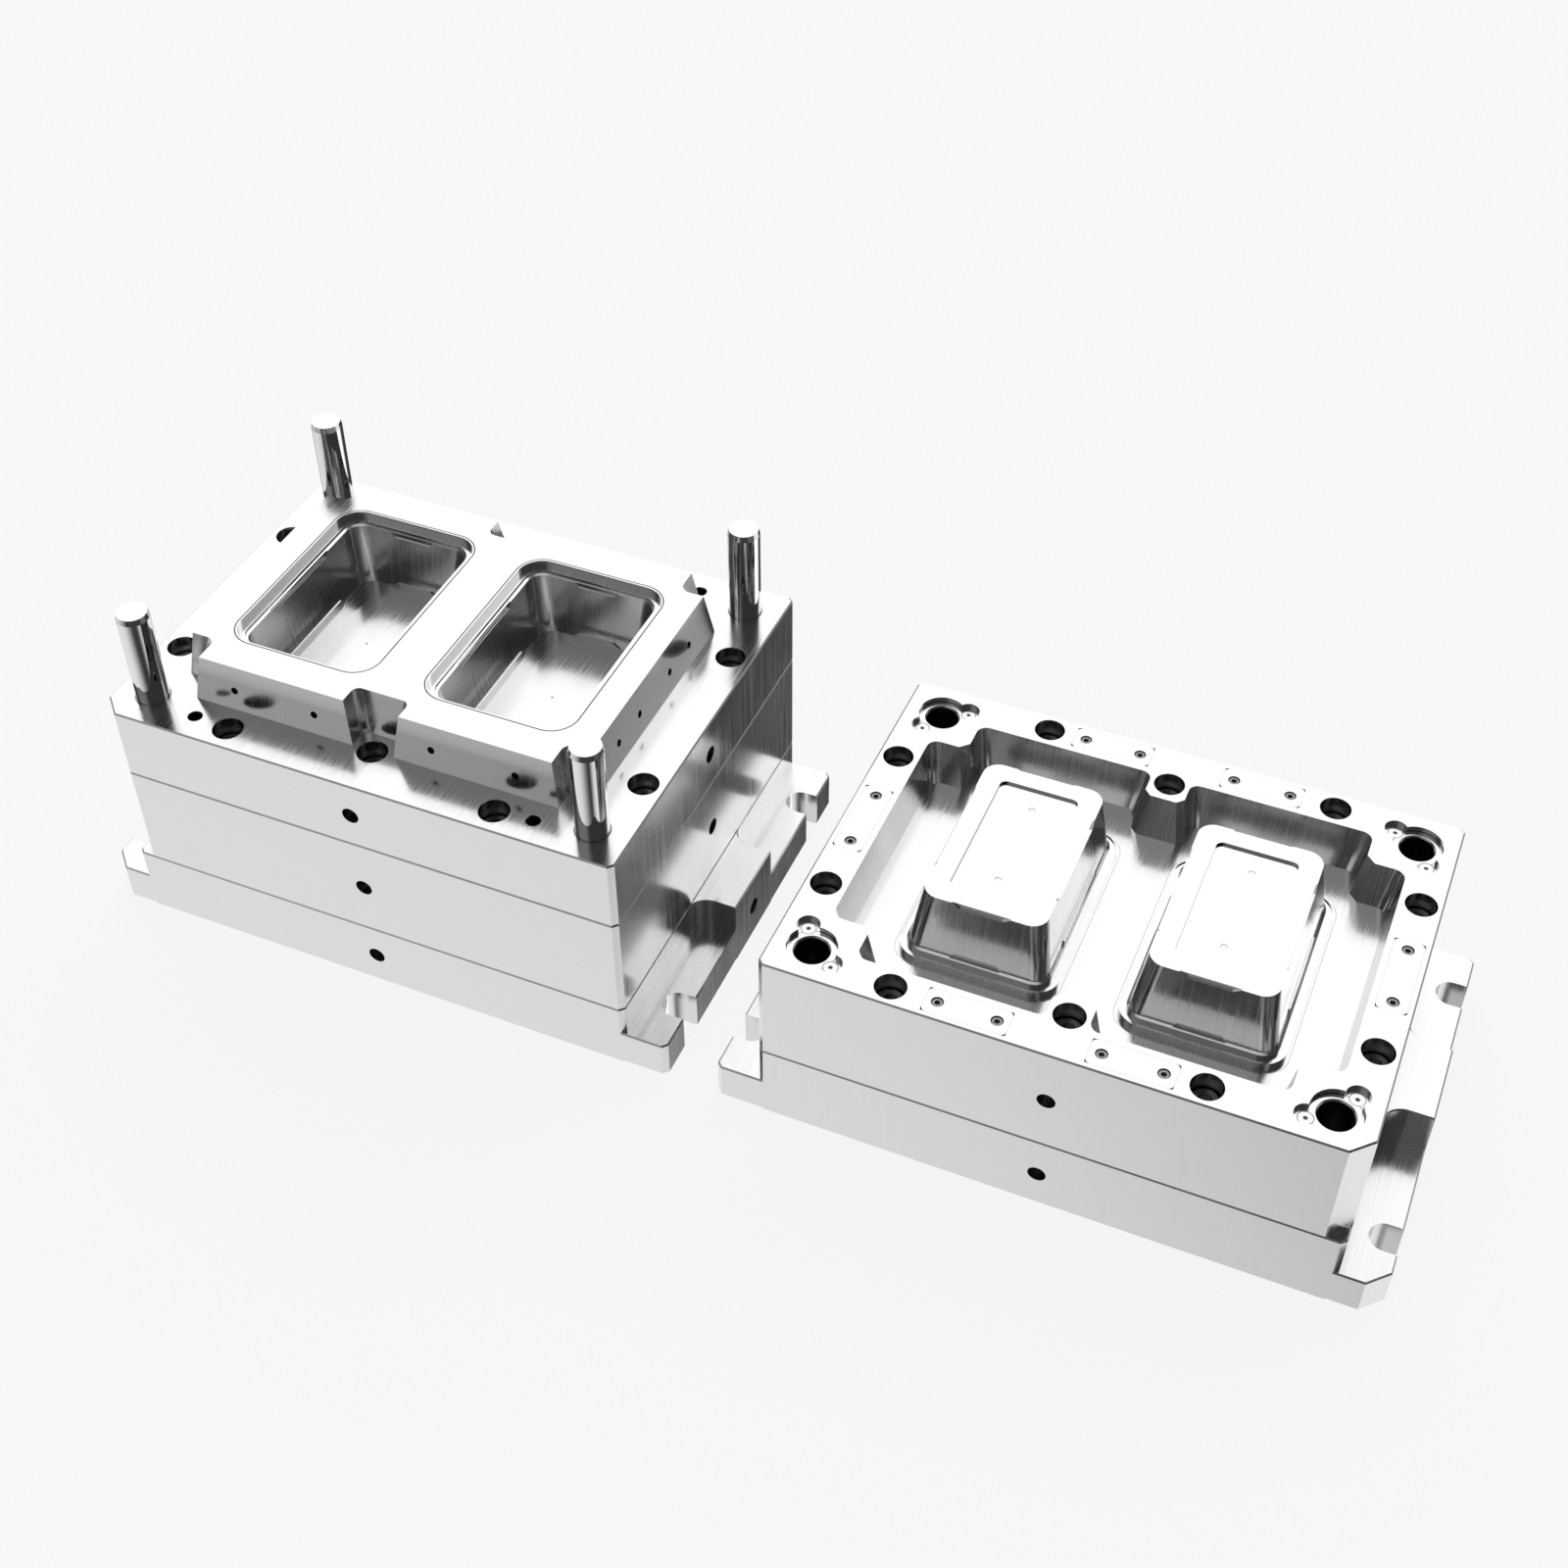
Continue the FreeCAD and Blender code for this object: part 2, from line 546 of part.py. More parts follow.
def break_mouths(body, hole, height, places, reach, amount, name):
    """A small chamfer on the edges of a hole at one height, near the given middles."""
    doc.recompute()
    level = as_size(height).value
    middles = [Vector(as_size(x).value, as_size(y).value, level) for x, y in places]
    near = as_size(reach).value + NEAR
    edges = []
    for name_of_edge in flat_edges(hole.Shape, height):
        edge = hole.Shape.getElement(name_of_edge)
        for middle in middles:
            if all((vertex.Point - middle).Length < near for vertex in edge.Vertexes):
                edges.append(name_of_edge)
    return dress(body, "PartDesign::Chamfer", hole, edges, amount, name)


def break_faces(body, base, heights):
    """The small chamfer along a plate's faces."""
    doc.recompute()
    edges = []
    for height in heights:
        edges += flat_edges(base.Shape, height)
    return dress(body, "PartDesign::Chamfer", base, edges, size.edge_break, "Face_edges")


def plate_outline(half_x, half_y, chamfers):
    """A rectangle with a chamfer of its own on each corner, from +X +Y round the middle."""
    loop = []
    for count, ((sx, sy), chamfer) in enumerate(zip(FOUR_CORNERS, chamfers)):
        pair = [(sx * half_x, sy * (half_y - chamfer)), (sx * (half_x - chamfer), sy * half_y)]
        loop += pair if count % 2 == 0 else pair[::-1]
    return loop


def group(name, body, places, z=0, x=0):
    """One node of equal pieces, each a solid of its own."""
    copies = []
    for count, (copy_x, copy_y) in enumerate(places, start=1):
        copy = doc.addObject("App::Link", f"{name}_{count}")
        copy.LinkedObject = body
        place(copy, copy_x, copy_y, 0)
        copies.append(copy)
    whole = doc.addObject("Part::Compound", name)
    whole.Links = copies
    return finish_node(whole, name, x, 0, z)


def cap_screw(name, shank, head, head_height, socket, socket_depth, length, edge):
    """A socket head cap screw, its head standing on height 0."""
    body = new_body(name)
    turn(body, [(0, -length), (shank - edge, -length), (shank, -length + edge), (shank, 0),
                (head, 0), (head, head_height - edge), (head - edge, head_height), (0, head_height)],
         name + "_form")
    sketch = start_sketch(body, name + "_hexagon", head_height)
    point = socket / 3 ** 0.5
    half = socket / 2
    draw_outline(sketch, [(point, 0), (point / 2, half), (-point / 2, half),
                          (-point, 0), (-point / 2, -half), (point / 2, -half)])
    cut(body, sketch, socket_depth, name + "_socket")
    return body


def face_holes(body, height, end_x):
    """The tapped lifting holes: one in the middle of each of a plate's four faces."""
    depth = size.lift_hole_depth + OVERSHOOT
    for plane, reach in (("XZ_Plane", half_width), ("YZ_Plane", end_x)):
        for side in SIDES:
            bore(body, f"Lift_hole_{plane[:2]}_{'back' if side < 0 else 'front'}",
                 [(as_size(0), height)], size.lift_hole_radius,
                 side * (reach + OVERSHOOT), depth, upward=side < 0, plane=plane)


def counterbored(body, name, places, top, thickness, radius, room, recess_radius, recess_depth):
    """Through holes with a flat-bottomed recess for the screw head."""
    bore(body, name + "_through", places, radius + room, top, thickness)
    bore(body, name + "_recess", places, recess_radius, top, recess_depth)


# The moulded form: the core's outside, and with one wall thickness added the cavity's inside


def wall_section(height, grown):
    """Half sizes and corner radius of the drafted side wall at a height over the pocket floor."""
    foot = size.shoulder_height + size.shoulder_bevel
    share = (height - foot) / (size.core_height - foot)
    wall = size.container_wall if grown else as_size(0)
    inset_x = size.wall_inset + (size.base_inset_x - size.wall_inset) * share
    inset_y = size.wall_inset + (size.base_inset_y - size.wall_inset) * share
    inward = size.container_wall - wall
    foot_radius = size.rim_radius - size.wall_inset
    radius = foot_radius + (size.base_radius - foot_radius) * share
    return size.rim_half_x - inset_x - inward, size.rim_half_y - inset_y - inward, radius - inward


def moulded_form(body, base, start, grown):
    """Shoulder, drafted wall, foot recesses and panel, on a pocket floor at height base."""
    wall = size.container_wall if grown else as_size(0)
    inward = size.container_wall - wall
    raised = wall

    shoulder_x = size.rim_half_x - size.shoulder_inset - inward
    shoulder_y = size.rim_half_y - size.shoulder_inset - inward
    shoulder_radius = size.rim_radius - size.shoulder_inset - inward
    shoulder_top = size.shoulder_height + raised
    foot = shoulder_top + size.shoulder_bevel
    top = size.core_height + raised

    sketch = start_sketch(body, "Shoulder_outline", base + start)
    draw_rounded_box(sketch, 0, 0, shoulder_x, shoulder_y, shoulder_radius)
    pad(body, sketch, shoulder_top - start, "Shoulder")

    lower = start_sketch(body, "Bevel_foot", base + shoulder_top)
    draw_rounded_box(lower, 0, 0, shoulder_x, shoulder_y, shoulder_radius)
    foot_section = wall_section(size.shoulder_height + size.shoulder_bevel, grown)
    upper = start_sketch(body, "Bevel_top", base + foot)
    draw_rounded_box(upper, 0, 0, *foot_section)
    loft(body, "PartDesign::AdditiveLoft", lower, upper, "Shoulder_bevel")

    wall_foot = start_sketch(body, "Wall_foot", base + foot)
    draw_rounded_box(wall_foot, 0, 0, *foot_section)
    wall_top = start_sketch(body, "Wall_top", base + top)
    top_section = wall_section(size.core_height, grown)
    draw_rounded_box(wall_top, 0, 0, *top_section)
    loft(body, "PartDesign::AdditiveLoft", wall_foot, wall_top, "Side_wall")

    raise_x = size.rim_half_x - size.raised_inset - inward
    raise_y = size.rim_half_y - size.raised_inset - inward
    rise_top = base + size.raised_height + raised
    for plane, half, reach in (("XZ_Plane", size.raised_half_x, raise_y),
                               ("YZ_Plane", size.raised_half_y, raise_x)):
        foot_half = half + wall
        top_half = foot_half - size.raised_slant
        name = "Raised_" + plane[:2]
        sketch = start_sketch(body, name + "_outline", 0, plane)
        foot_level = base + size.shoulder_height
        slope_level = rise_top - size.raised_bevel
        draw_outline(sketch, [(-foot_half, foot_level), (foot_half, foot_level),
                              (top_half, slope_level), (-top_half, slope_level)])
        pad(body, sketch, reach * 2, name, both_ways=True)
        lower = start_sketch(body, name + "_slope_foot", slope_level)
        upper = start_sketch(body, name + "_slope_top", rise_top)
        drawn = [(top_half, reach), (top_half - size.raised_bevel, reach - size.raised_bevel)]
        for slope, (across, along) in zip((lower, upper), drawn):
            if plane == "XZ_Plane":
                draw_box(slope, as_size(0), as_size(0), across, along)
            else:
                draw_box(slope, as_size(0), as_size(0), along, across)
        loft(body, "PartDesign::AdditiveLoft", lower, upper, name + "_slope")

    for plane, half, reach in (("XZ_Plane", size.foot_recess_half_x, top_section[1]),
                               ("YZ_Plane", size.foot_recess_half_y, top_section[0])):
        open_half = half - wall
        shut_half = open_half - size.foot_recess_slant
        for side in SIDES:
            name = f"Foot_recess_{plane[:2]}_{'far' if side < 0 else 'near'}"
            sketch = start_sketch(body, name + "_outline", side * (reach + OVERSHOOT), plane)
            draw_outline(sketch, [(-shut_half, base + top - size.foot_recess_height),
                                  (shut_half, base + top - size.foot_recess_height),
                                  (open_half, base + top), (open_half, base + top + OVERSHOOT),
                                  (-open_half, base + top + OVERSHOOT), (-open_half, base + top)])
            cut(body, sketch, size.foot_recess_depth + OVERSHOOT, name, upward=side < 0)

    sketch = start_sketch(body, "Panel_outline", base + top)
    draw_rounded_box(sketch, 0, 0, size.panel_half_x - wall, size.panel_half_y - wall, size.panel_radius)
    cut(body, sketch, size.panel_depth, "Panel")


# Cavity half

CAVITY_CORNERS = [size.corner_chamfer, size.corner_chamfer, size.datum_chamfer, size.corner_chamfer]
CORE_CORNERS = [size.corner_chamfer, size.corner_chamfer, size.corner_chamfer, size.datum_chamfer]


def make_clamp_plate(name, thickness, chamfers, lift_height):
    """A clamp plate: low ears with open slots, and a full-height rib in the middle of each ear."""
    body = new_body(name)
    sketch = start_sketch(body, "Ear_outline")
    draw_outline(sketch, plate_outline(ear_end, half_width, chamfers))
    ears = pad(body, sketch, size.ear_height, "Ears")
    doc.recompute()
    edges = flat_edges(ears.Shape, 0) + flat_edges(ears.Shape, size.ear_height)
    dress(body, "PartDesign::Chamfer", ears, edges, size.edge_break, "Ear_edges")

    sketch = start_sketch(body, "Plate_outline")
    quarter = [(ear_end, size.ear_rib_half), (half_length, size.ear_rib_half),
               (half_length, half_width - size.corner_chamfer),
               (half_length - size.corner_chamfer, half_width)]
    draw_outline(sketch, four_fold(quarter))
    plate = pad(body, sketch, thickness, "Plate")
    doc.recompute()
    corners = [edge_between(plate.Shape, (sx * half_length, sy * size.ear_rib_half, size.ear_height),
                            (sx * half_length, sy * size.ear_rib_half, thickness)) for sx, sy in FOUR_CORNERS]
    plate = dress(body, "PartDesign::Fillet", plate, corners, size.ear_cutter_radius, "Cutter_corners")
    break_faces(body, plate, [thickness])

    round_x = ear_end - size.clamp_slot_depth + size.clamp_slot_width / 2
    slots = [(sx * round_x, sy * size.clamp_slot_y) for sx, sy in FOUR_CORNERS]
    bore(body, "Clamp_slot_ends", slots, size.clamp_slot_width / 2, size.ear_height, size.ear_height)
    sketch = start_sketch(body, "Clamp_slot_mouths_outline", size.ear_height)
    mouth_half = (ear_end + OVERSHOOT - round_x) / 2
    for sx, sy in FOUR_CORNERS:
        draw_box(sketch, sx * (round_x + mouth_half), sy * size.clamp_slot_y,
                 mouth_half, size.clamp_slot_width / 2)
    cut(body, sketch, size.ear_height, "Clamp_slot_mouths")
    face_holes(body, lift_height, ear_end)
    return body


def make_plate(name, thickness, chamfers):
    """A plain mould plate with its corners and face edges broken."""
    body = new_body(name)
    sketch = start_sketch(body, "Plate_outline")
    draw_outline(sketch, plate_outline(half_length, half_width, chamfers))
    plate = pad(body, sketch, thickness, "Plate")
    break_faces(body, plate, [0, thickness])
    face_holes(body, thickness / 2, half_length)
    return body


def make_cavity_clamp_plate():
    thickness = size.cavity_clamp_thickness
    body = make_clamp_plate("cavity_clamp_plate", thickness, CAVITY_CORNERS, size.cavity_clamp_lift_height)
    centre = [(as_size(0), as_size(0))]
    bore(body, "Ring_seat", centre, size.ring_radius + size.ring_fit, 0, size.ring_height, upward=True)
    bore(body, "Inlet_seat", centre, size.inlet_flange_radius + size.ring_fit, 0,
         size.ring_height + size.inlet_flange_height, upward=True)
    bore(body, "Inlet_bore", centre, size.inlet_radius + size.ring_fit, 0, thickness, upward=True)
    bore(body, "Clamp_bolt_holes", clamp_bolts, size.clamp_bolt_radius + size.clamp_bolt_hole_room,
         0, thickness, upward=True)
    bore(body, "Clamp_bolt_recesses", clamp_bolts, size.clamp_bolt_recess_radius, 0,
         size.clamp_bolt_recess, upward=True)
    finish_node(body, "cavity_clamp_plate", -half_spacing)


def make_hot_runner_plate():
    thickness = size.hot_runner_thickness
    body = make_plate("hot_runner_plate", thickness, CAVITY_CORNERS)
    manifold_space = size.manifold_height + size.disc_height * 2
    sketch = start_sketch(body, "Manifold_pocket_outline")
    draw_rounded_box(sketch, 0, 0, size.manifold_length / 2 + size.manifold_room,
                     size.manifold_width / 2 + size.manifold_room, size.manifold_room)
    cut(body, sketch, manifold_space, "Manifold_pocket", upward=True)
    nozzles = [(x, as_size(0)) for x in core_places]
    head_top = size.disc_height + size.manifold_height + size.nozzle_head_height
    bore(body, "Nozzle_seats", nozzles, size.nozzle_head_radius + size.ring_fit, 0, head_top, upward=True)
    bore(body, "Nozzle_bores", nozzles, size.nozzle_radius + size.nozzle_room, 0, thickness, upward=True)
    bore(body, "Cavity_bolt_taps", cavity_bolts, size.bolt_radius + size.thread_room, thickness,
         size.bolt_grip + size.tap_runout)
    bore(body, "Clamp_bolt_taps", clamp_bolts, size.clamp_bolt_radius + size.thread_room, 0,
         size.clamp_bolt_grip + size.tap_runout, upward=True)
    finish_node(body, "hot_runner_plate", -half_spacing, 0, hot_runner_base)


def block_outline(lean):
    """The interlock block's outline, grown outward by lean on every wall."""
    quarter = [(size.block_top_x + lean, size.corner_notch_y + lean),
               (size.corner_notch_x + lean, size.corner_notch_y + lean),
               (size.corner_notch_x + lean, size.block_top_y + lean),
               (size.mid_notch_half - lean, size.block_top_y + lean),
               (size.mid_notch_half - lean, size.mid_notch_y + lean)]
    return four_fold(quarter)


def make_cavity_form():
    """The space that the cavity plate leaves round the container, with the rim at height 0."""
    body = new_body("cavity_form")
    sketch = start_sketch(body, "Rim_outline", -size.edge_break)
    draw_rounded_box(sketch, 0, 0, size.rim_half_x, size.rim_half_y, size.rim_radius)
    pad(body, sketch, size.rim_depth + size.edge_break, "Rim")
    moulded_form(body, as_size(0), size.rim_depth - size.rim_lip, grown=True)
    return body


def make_cavity_plate():
    thickness = size.cavity_plate_thickness
    body = make_plate("cavity_plate_blank", thickness, CAVITY_CORNERS)
    lower = start_sketch(body, "Block_foot", thickness)
    draw_outline(lower, block_outline(size.interlock_draft))
    upper = start_sketch(body, "Block_top", block_top)
    draw_outline(upper, block_outline(as_size(0)))
    block = loft(body, "PartDesign::AdditiveLoft", lower, upper, "Interlock_block")
    doc.recompute()
    lean = size.interlock_draft
    for name, x, y, lean_x, radius in (
            ("Corner_notch_rounds", size.corner_notch_x, size.corner_notch_y, lean, size.corner_notch_radius),
            ("Middle_notch_rounds", size.mid_notch_half, size.mid_notch_y, -lean, size.mid_notch_radius)):
        edges = [edge_between(block.Shape, (sx * (x + lean_x), sy * (y + lean), thickness),
                              (sx * x, sy * y, block_top)) for sx, sy in FOUR_CORNERS]
        block = dress(body, "PartDesign::Fillet", block, edges, radius, name)
        doc.recompute()

    counterbored(body, "Bolt", cavity_bolts, thickness, thickness, size.bolt_radius, size.bolt_hole_room,
                 size.bolt_recess_radius, size.bolt_recess_depth)
    bores = bore(body, "Pin_bores", guide_places, size.pin_radius + size.pin_fit, thickness, thickness)
    break_mouths(body, bores, thickness, guide_places, size.pin_radius + size.pin_fit, size.pin_mouth,
                 "Pin_mouths")
    bore(body, "Pin_head_seats", guide_places, size.pin_head_radius + size.pin_fit, 0,
         size.pin_head_height, upward=True)
    jacks = [(sx * size.jack_hole_x, sy * (half_width - size.jack_hole_inset)) for sx, sy in FOUR_CORNERS]
    holes = bore(body, "Jacking_holes", jacks, size.jack_hole_radius, thickness, thickness)
    break_mouths(body, holes, thickness, jacks, size.jack_hole_radius, size.seat_edge_break, "Jacking_mouths")
    nozzles = [(x, as_size(0)) for x in core_places]
    bore(body, "Nozzle_bores", nozzles, size.nozzle_radius + size.nozzle_room, 0,
         cavity_floor - size.nozzle_seal_length, upward=True)
    bore(body, "Nozzle_seals", nozzles, size.nozzle_seal_radius + size.ring_fit, 0,
         cavity_floor - size.gate_land, upward=True)
    bore(body, "Gates", nozzles, size.gate_radius, 0, cavity_floor + size.panel_depth, upward=True)

    port_height = thickness + size.water_hole_height
    port_x = [side * x for side in SIDES for x in (size.water_hole_far_x, size.water_hole_near_x)]
    port_y = [side * y for side in SIDES for y in (size.water_hole_far_y, size.water_hole_near_y)]
    for plane, reach, along in (("XZ_Plane", size.block_top_y, port_x),
                                ("YZ_Plane", size.block_top_x, port_y)):
        for side in SIDES:
            bore(body, f"Cooling_ports_{plane[:2]}_{'far' if side < 0 else 'near'}",
                 [(place_along, port_height) for place_along in along], size.water_hole_radius,
                 side * (reach + size.interlock_draft), size.water_hole_depth, upward=side < 0, plane=plane)

    form = make_cavity_form()
    hollows = []
    for count, x in enumerate(core_places, start=1):
        hollow = doc.addObject("App::Link", f"cavity_hollow_{count}")
        hollow.LinkedObject = form
        hollow.Placement.Rotation = Rotation(Vector(1, 0, 0), 180)
        place(hollow, x, 0, block_top)
        hollows.append(hollow)
    tool = doc.addObject("Part::Compound", "cavity_hollows")
    tool.Links = hollows
    plate = doc.addObject("Part::Cut", "cavity_plate")
    plate.Base = body
    plate.Tool = tool
    finish_node(plate, "cavity_plate", -half_spacing, 0, cavity_plate_base)


def make_guide_pins():
    """Straight guide pins with tapered tips, held by their heads under the cavity plate."""
    top = size.cavity_plate_thickness + size.pin_reach
    for count, (x, y) in enumerate(guide_places, start=1):
        body = new_body(f"guide_pin_{count}")
        turn(body, [(0, 0), (size.pin_head_radius, 0), (size.pin_head_radius, size.pin_head_height),
                    (size.pin_radius, size.pin_head_height), (size.pin_radius, top - size.pin_tip_length),
                    (size.pin_radius - size.pin_tip_inset, top), (0, top)], "Pin")
        finish_node(body, f"guide_pin_{count}", x - half_spacing, y, cavity_plate_base)


def make_plate_bolts():
    """The large cap screws of both halves, and the clamp plate's own."""
    for name, places, thickness, base, x in (
            ("cavity_plate_bolts", cavity_bolts, size.cavity_plate_thickness, cavity_plate_base,
             -half_spacing),
            ("core_plate_bolts", core_bolts, size.core_plate_thickness, size.core_clamp_thickness,
             half_spacing)):
        seat = thickness - size.bolt_recess_depth
        screw = cap_screw(name + "_one", size.bolt_radius, size.bolt_head_radius, size.bolt_head_height,
                          size.bolt_socket, size.bolt_socket_depth, seat + size.bolt_grip,
                          size.bolt_head_edge)
        group(name, screw, places, base + seat, x)

    length = size.cavity_clamp_thickness - size.clamp_bolt_recess + size.clamp_bolt_grip
    screw = cap_screw("clamp_bolt_one", size.clamp_bolt_radius, size.clamp_bolt_head_radius,
                      size.clamp_bolt_head_height, size.clamp_bolt_socket, size.bolt_socket_depth,
                      length, size.bolt_head_edge)
    flipped = doc.addObject("App::Link", "clamp_bolt_up")
    flipped.LinkedObject = screw
    flipped.Placement.Rotation = Rotation(Vector(1, 0, 0), 180)
    group("cavity_clamp_bolts", upright(flipped, "clamp_bolt_turned"), clamp_bolts, size.clamp_bolt_recess,
          -half_spacing)


def upright(link, name):
    """A turned copy of a screw, ready to be placed again."""
    holder = doc.addObject("Part::Compound", name)
    holder.Links = [link]
    return holder


def make_hot_runner():
    """Manifold, its support discs, the two nozzles, the inlet bush and the locating ring."""
    length = size.manifold_length
    body = new_body("hot_runner_manifold")
    sketch = start_sketch(body, "Manifold_outline")
    draw_rounded_box(sketch, 0, 0, length / 2, size.manifold_width / 2, size.manifold_corner)
    pad(body, sketch, size.manifold_height, "Manifold")
    middle = size.manifold_height / 2
    nozzles = [(x, as_size(0)) for x in core_places]
    bore(body, "Inlet_channel", [(as_size(0), as_size(0))], size.melt_radius, 0, middle, upward=True)
    bore(body, "Nozzle_channels", nozzles, size.melt_radius, size.manifold_height, middle)
    bore(body, "Cross_channel", [(as_size(0), middle)], size.melt_radius, size.cavity_offset,
         size.cavity_offset * 2, plane="YZ_Plane")
    finish_node(body, "hot_runner_manifold", -half_spacing, 0, hot_runner_base + size.disc_height)

    disc = new_body("support_disc_one")
    turn(disc, [(0, 0), (size.disc_radius, 0), (size.disc_radius, size.disc_height), (0, size.disc_height)],
         "Disc")
    group("manifold_support_discs", disc, nozzles, hot_runner_base, -half_spacing)

    head_base = hot_runner_base + size.disc_height + size.manifold_height
    tip = cavity_plate_base + cavity_floor - size.gate_land - head_base
    seal_base = tip - size.nozzle_seal_length
    for side_name, x in zip(("left", "right"), core_places):
        body = new_body(f"{side_name}_nozzle")
        melt = size.nozzle_melt_radius
        turn(body, [(melt, 0), (size.nozzle_head_radius, 0),
                    (size.nozzle_head_radius, size.nozzle_head_height),
                    (size.nozzle_radius, size.nozzle_head_height),
                    (size.nozzle_radius, seal_base - size.nozzle_taper),
                    (size.nozzle_seal_radius, seal_base), (size.nozzle_seal_radius, tip),
                    (size.gate_radius, tip), (size.gate_radius, tip - size.nozzle_throat),
                    (melt, seal_base)], "Nozzle")
        finish_node(body, f"{side_name}_nozzle", x - half_spacing, 0, head_base)

    inlet_base = size.ring_height
    inlet_top = hot_runner_base + size.disc_height - inlet_base
    body = new_body("inlet_bush")
    turn(body, [(size.melt_radius, size.inlet_seat_depth), (size.inlet_seat_radius, 0),
                (size.inlet_flange_radius, 0),
                (size.inlet_flange_radius, size.inlet_flange_height),
                (size.inlet_radius, size.inlet_flange_height), (size.inlet_radius, inlet_top),
                (size.melt_radius, inlet_top)], "Inlet")
    finish_node(body, "inlet_bush", -half_spacing, 0, inlet_base)

    body = new_body("locating_ring")
    turn(body, [(size.ring_bore_radius, 0), (size.ring_radius, 0), (size.ring_radius, size.ring_height),
                (size.ring_bore_radius, size.ring_height)], "Ring")
    finish_node(body, "locating_ring", -half_spacing)


# Core half


def make_core_clamp_plate():
    thickness = size.core_clamp_thickness
    body = make_clamp_plate("core_clamp_plate", thickness, CORE_CORNERS, size.core_clamp_lift_height)
    bore(body, "Core_bolt_taps", core_bolts, size.bolt_radius + size.thread_room, thickness,
         size.bolt_grip + size.tap_runout)
    finish_node(body, "core_clamp_plate", half_spacing)


def pocket_outline(lean):
    """The interlock pocket's outline, with its corner and middle bosses, drawn in by lean."""
    reach = size.interlock_draft + size.interlock_clearance
    wall_x = size.block_top_x + size.interlock_draft + size.pocket_margin_x - lean
    wall_y = size.block_top_y + size.interlock_draft + size.pocket_margin_y - lean
    boss_x = size.corner_notch_x + reach - lean
    boss_y = size.corner_notch_y + reach - lean
    middle_x = size.mid_notch_half - size.interlock_draft - size.boss_side_clearance + lean
    middle_y = size.mid_notch_y + reach - lean
    return [(wall_x, boss_y), (boss_x + size.corner_boss_chamfer, boss_y),
            (boss_x, boss_y + size.corner_boss_chamfer), (boss_x, wall_y),
            (middle_x, wall_y), (middle_x, middle_y + size.mid_boss_chamfer),
            (middle_x - size.mid_boss_chamfer, middle_y)]


end_pads = [(side * size.end_pad_far_x, side * (half_width - size.end_pad_inset)) for side in SIDES]
end_pads += [(-side * size.end_pad_near_x, side * (half_width - size.end_pad_inset)) for side in SIDES]
side_pads = [(side * (half_length - size.side_pad_inset), as_size(0)) for side in SIDES]
end_pad_screws = [(x + side * size.end_pad_pitch / 2, y) for x, y in end_pads for side in SIDES]
side_pad_screws = [(x, y + side * size.side_pad_pitch / 2) for x, y in side_pads for side in SIDES]


def screws_round_bush(sx, sy):
    """The two screws of a bush, from the bush's middle, to both sides of the way to the mould's middle."""
    inward = as_size(225)
    return [(sx * size.lobe_distance * (inward + side * size.lobe_angle).cos(),
             sy * size.lobe_distance * (inward + side * size.lobe_angle).sin()) for side in SIDES]


bush_screws = [(sx * pin_x + x, sy * pin_y + y)
               for sx, sy in FOUR_CORNERS for x, y in screws_round_bush(sx, sy)]


